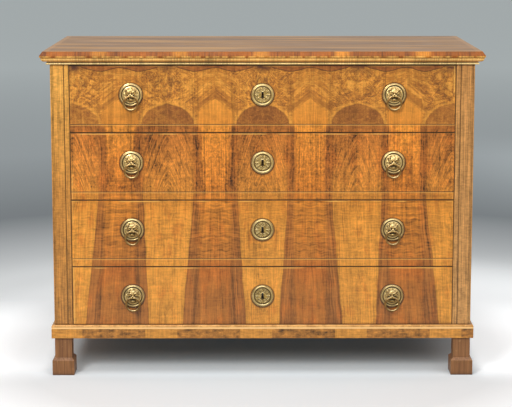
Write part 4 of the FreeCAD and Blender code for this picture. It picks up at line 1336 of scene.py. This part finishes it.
def mane_lock():
    """One lock that grows upwards and bends to the right."""
    start_piece()
    bpy.ops.mesh.primitive_circle_add(vertices=12, radius=LOCK_ROOT * MM, fill_type="NGON")
    lock = bpy.context.object
    bpy.ops.object.mode_set(mode="EDIT")
    tip = Vector()
    for rise, aside, shrink in LOCK_STEPS:
        step = Vector((aside, 0, rise)) * MM
        tip += step
        bpy.ops.mesh.extrude_region_move(TRANSFORM_OT_translate={"value": step})
        bpy.ops.transform.resize(value=(shrink, shrink, 1), center_override=tip)
    bpy.ops.mesh.select_all(action="SELECT")
    bpy.ops.mesh.normals_make_consistent(inside=False)
    bpy.ops.object.mode_set(mode="OBJECT")
    return lock


def copy_of(original, name, move):
    """A copy of a piece with its own mesh, moved by a matrix."""
    mesh = original.data.copy()
    mesh.transform(move)
    copy = bpy.data.objects.new(name, mesh)
    scene.collection.objects.link(copy)
    return copy


def row_of_locks(count, root, out, size, span=360.0, middle=0.0, low_out=None):
    """Copies of the lock round a circle; low_out is their height below the mouth, under the ring."""
    made = []
    for index in range(count):
        share = index / count if span == 360 else index / (count - 1) - 0.5
        angle = math.radians(middle + span * share)
        lower = low_out is not None and math.cos(angle) < UNDER_MOUTH
        height = low_out if lower else out
        bend = 1 if index % 2 else -1
        place = Vector((math.sin(angle) * root, -height, math.cos(angle) * root)) * MM
        lean = Matrix.Rotation(math.radians(LOCK_LEAN), 4, "X")
        shape = Matrix.Diagonal((bend * size, size, size, 1))
        turn = Matrix.Rotation(angle, 4, "Y")
        made.append(copy_of(lock, "lock", Matrix.Translation(place) @ turn @ lean @ shape))
    return made


lock = mane_lock()
print("lock:", len(lock.data.polygons), "faces")

# %% [markdown]
# The face is set out from its middle line: skull, forehead, bridge and tip of the nose, chin, lip
# and muzzle. The brows, eyes, folds under the eyes, whisker pads, cheeks and ears follow in
# pairs, and then four rows of locks. The places are read from the photograph's light and shade.

# %% Face and mane
start_piece()
face = [
    lump((0, 4.5, 6.5), (11.5, 5.4, 9.5)),
    lump((0, 8.0, 11.0), (7.0, 3.2, 4.4)),
    lump((0, 10.6, 4.6), (2.7, 3.4, 6.4), tilt=24),
    lump((0, 14.6, 1.2), (3.8, 2.2, 2.0)),
    lump((0, 7.6, -13.4), (6.2, 3.4, 3.8)),
    lump((0, 9.8, -12.4), (4.0, 2.6, 2.2)),
    lump((0, 7.4, -1.6), (7.2, 6.2, 5.4)),
    *pair((5.4, 10.0, 8.2), (5.0, 2.4, 1.9), turn=16),
    *pair((5.3, 9.2, 4.6), (2.1, 1.5, 1.5)),
    *pair((6.4, 8.4, 2.2), (3.4, 1.7, 1.1), turn=-8),
    *pair((3.5, 12.8, -2.6), (4.0, 3.4, 3.4)),
    *pair((9.4, 6.0, 4.4), (4.0, 3.2, 4.2)),
    *pair((12.2, 6.4, 13.2), (3.2, 2.8, 3.6), turn=-25),
]
mane = [
    *row_of_locks(count=22, root=13.4, out=3.8, size=0.98, low_out=3.6),
    *row_of_locks(count=16, root=9.4, out=5.8, size=1.0, middle=11, low_out=4.4),
    *row_of_locks(count=7, root=9.6, out=8.4, size=0.85, span=96),
    *row_of_locks(count=5, root=11.4, out=5.4, size=0.90, span=70, middle=180),
]
print("lumps:", len(face), "locks:", len(mane))

# %% [markdown]
# Now the wax is joined. A voxel remesh turns the heap of lumps into one skin, and a Smooth
# modifier softens it as wax and casting sand do. A Boolean union of so many lumps would be slower
# and leave sharp creases. A Boolean is kept for what goes inwards.

# %% Casting
VOXEL = 0.36 * MM


def joined(parts):
    """Joins parts into the first of them."""
    start_piece()
    for part in parts:
        part.select_set(True)
    bpy.context.view_layer.objects.active = parts[0]
    bpy.ops.object.join()
    return bpy.context.object


def apply_modifier(piece, kind, **settings):
    """Adds a modifier, sets it and applies it."""
    start_piece()
    piece.select_set(True)
    bpy.context.view_layer.objects.active = piece
    modifier = piece.modifiers.new("step", kind)
    for name, value in settings.items():
        setattr(modifier, name, value)
    bpy.ops.object.modifier_apply(modifier=modifier.name)


def carve(piece, cutter):
    """Cuts one shape out of a piece and throws the cutter away."""
    apply_modifier(piece, "BOOLEAN", operation="DIFFERENCE", solver="EXACT", object=cutter)
    bpy.data.objects.remove(cutter)


def cast(parts):
    """Melts parts into one softened skin."""
    skin = joined(parts)
    apply_modifier(skin, "REMESH", mode="VOXEL", voxel_size=VOXEL)
    apply_modifier(skin, "SMOOTH", factor=0.5, iterations=2)
    return skin


mask = cast(face + mane)
bpy.data.objects.remove(lock)
print("cast mask:", len(mask.data.polygons), "faces")

# %% [markdown]
# A round rod that lies across the mouth cuts the slot in which the ring swings, and pressed balls
# cut the mouth, the lip, the nostrils and the ears. The cutters go one at a time, because a
# Boolean of overlapping cutters can fail, and a last light smoothing takes the sharpness off the
# cuts.

# %% Slot and hollows
RING_OUT = 10.0
RING_DROP = 3.3
RING_SLOT = 4.5
SLOT_LENGTH = 60
ACROSS = (0, math.pi / 2, 0)
OUTWARDS = (math.pi / 2, 0, 0)


def rod(radius, length, place, turn, sides):
    """A round rod, its sizes and the place of its middle in millimetres."""
    start_piece()
    bpy.ops.mesh.primitive_cylinder_add(
        vertices=sides,
        radius=radius * MM,
        depth=length * MM,
        location=[value * MM for value in place],
        rotation=turn,
    )
    return bpy.context.object


carve(mask, rod(RING_SLOT, SLOT_LENGTH, (0, -RING_OUT, -RING_DROP), ACROSS, sides=48))
start_piece()
hollows = [
    *pair((4.4, 9.0, -8.6), (6.4, 7.0, 1.7), turn=-20),
    lump((0, 16.3, -2.9), (0.4, 1.5, 2.4)),
    *pair((1.9, 16.8, 0.8), (0.8, 1.0, 0.7)),
    *pair((12.2, 9.8, 13.0), (1.7, 2.0, 2.2), turn=-25),
]
for hollow in hollows:
    carve(mask, hollow)
apply_modifier(mask, "SMOOTH", factor=0.4, iterations=1)
print("lion mask:", len(mask.data.polygons), "faces")

# %% [markdown]
# Behind the plate a stud runs through the drawer front to its nut. Plate, mask and stud become
# one piece, which is copied to the eight places that the CAD model gives, and each copy stands
# for the plain CAD plate. Eight instances of one mesh would be lighter, but each plate has to
# ride on its own drawer with its place in its mesh.

# %% Eight lion plates
STUD_RADIUS = 2.5
STUD_LENGTH = 28.0
STUD_CHAMFER = 0.6
PLATE_RADIUS = 31.0
SOFT_ANGLE = 42


def finished(parts, metal):
    """Joins parts into one piece with soft shading and one metal."""
    piece = joined(parts)
    bpy.ops.object.transform_apply(location=True, rotation=True, scale=True)
    bpy.ops.object.shade_smooth_by_angle(angle=math.radians(SOFT_ANGLE))
    piece.data.materials.clear()
    piece.data.materials.append(metal)
    return piece


def fit(original, name, place, body, node):
    """A copy of a finished brass piece at its place, riding on its drawer."""
    piece = copy_of(original, name, Matrix.Translation(place))
    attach(piece, body)
    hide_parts(node)


stud = rod(STUD_RADIUS, STUD_LENGTH, (0, STUD_LENGTH / 2, 0), OUTWARDS, sides=24)
apply_modifier(stud, "BEVEL", width=STUD_CHAMFER * MM, segments=2, limit_method="ANGLE")
lion_plate = finished([mask_plate, mask, stud], mask_brass)
front_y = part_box("drawer_1_front")[0].y
for number in DRAWERS:
    node = f"drawer_{number}_pull_plates"
    low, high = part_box(node)
    across = high.x - PLATE_RADIUS * MM
    middle = (low.z + high.z) / 2
    for hand, place_x in (("left", -across), ("right", across)):
        name = f"drawer_{number}_lion_{hand}"
        fit(lion_plate, name, (place_x, front_y, middle), f"drawer_{number}", node)
print("lion plate:", len(lion_plate.data.polygons), "faces, at", round(across, 4))
bpy.data.objects.remove(lion_plate)

# %% [markdown]
# The keyhole plate has a broad bright rim and, inside it, a wreath of small leaves round a smooth
# shield with the keyhole. One leaf is a rib with two pairs of lobes; it is pressed from balls,
# copied round the middle, and cast like the mask. A bump map would give the same shade from the
# front, but the relief has to stand out from the side too.

# %% Keyhole plates
LEAF_COUNT = 10
BERRY_CIRCLE = 20.6

ESCUTCHEON_STEPS = (
    (30.0, 0.9),
    (28.9, 1.2),
    (28.6, 2.4),
    (28.0, 3.6),
    (27.2, 4.4),
    (26.2, 4.6),
    (25.2, 4.3),
    (24.4, 3.6),
    (23.8, 2.4),
    (23.4, 0.8),
    (21.4, 0.8),
    (20.8, 1.2),
    (18.0, 1.2),
    (12.0, 1.4),
)
keyhole_plate = turned_plate(ESCUTCHEON_STEPS)
start_piece()
leaf_parts = [
    lump((0, 1.6, 14.6), (1.2, 2.5, 5.6)),
    lump((0, 2.0, 19.4), (1.9, 2.3, 1.9)),
    *pair((2.7, 1.6, 17.2), (1.1, 2.1, 2.6), turn=-40),
    *pair((2.2, 1.6, 12.6), (0.9, 1.9, 2.2), turn=-44),
]
leaf_form = joined(leaf_parts)
wreath = []
for index in range(LEAF_COUNT):
    angle = math.radians(360 * (index + 0.5) / LEAF_COUNT)
    wreath.append(copy_of(leaf_form, "leaf", Matrix.Rotation(angle, 4, "Y")))
start_piece()
for index in range(LEAF_COUNT):
    angle = math.radians(360 * index / LEAF_COUNT)
    place = (math.sin(angle) * BERRY_CIRCLE, 1.4, math.cos(angle) * BERRY_CIRCLE)
    wreath.append(lump(place, (1.4, 2.0, 1.4)))
shield = [
    lump((0, 1.6, 3.6), (5.6, 2.9, 7.0)),
    lump((0, 1.6, -5.4), (6.8, 2.9, 5.4)),
]
relief = cast(wreath + shield)
bpy.data.objects.remove(leaf_form)
print("leaf relief:", len(relief.data.polygons), "faces")

# %% [markdown]
# A keyhole has a round head for the shank of the key and a foot that flares for its bit. It could
# be a dark patch, but then a key could never go in, so two cutters longer than the plate is thick
# go through plate and relief before the two are joined. The block of the foot is widened by
# moving its lower corners apart.

# %% Keyhole
KEYHOLE_TOP = 5.4
KEYHOLE_RADIUS = 3.4
KEYHOLE_FOOT = 8.8
KEYHOLE_FOOT_HALF = 4.3
KEYHOLE_WAIST_HALF = 2.6
CUTTER_LENGTH = 40


def keyhole_cutters():
    """The round head of the keyhole and its flaring foot, both longer than the plate is thick."""
    head = rod(KEYHOLE_RADIUS, CUTTER_LENGTH, (0, 0, KEYHOLE_TOP), OUTWARDS, sides=40)
    start_piece()
    tall = KEYHOLE_TOP + KEYHOLE_FOOT
    bpy.ops.mesh.primitive_cube_add(size=1.0)
    foot = bpy.context.object
    foot.scale = (2 * KEYHOLE_WAIST_HALF * MM, CUTTER_LENGTH * MM, tall * MM)
    foot.location = (0, 0, (KEYHOLE_TOP - KEYHOLE_FOOT) / 2 * MM)
    bpy.ops.object.transform_apply(location=True, rotation=True, scale=True)
    for corner in foot.data.vertices:
        if corner.co.z < 0:
            corner.co.x *= KEYHOLE_FOOT_HALF / KEYHOLE_WAIST_HALF
    return head, foot


for cast_part in (keyhole_plate, relief):
    for cutter in keyhole_cutters():
        carve(cast_part, cutter)
escutcheon = finished([keyhole_plate, relief], leaf_brass)
for number in DRAWERS:
    node = f"drawer_{number}_escutcheon"
    low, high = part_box(node)
    place = ((low.x + high.x) / 2, front_y, (low.z + high.z) / 2)
    fit(escutcheon, f"drawer_{number}_keyhole_plate", place, f"drawer_{number}", node)
print("keyhole plate:", len(escutcheon.data.polygons), "faces")
bpy.data.objects.remove(escutcheon)
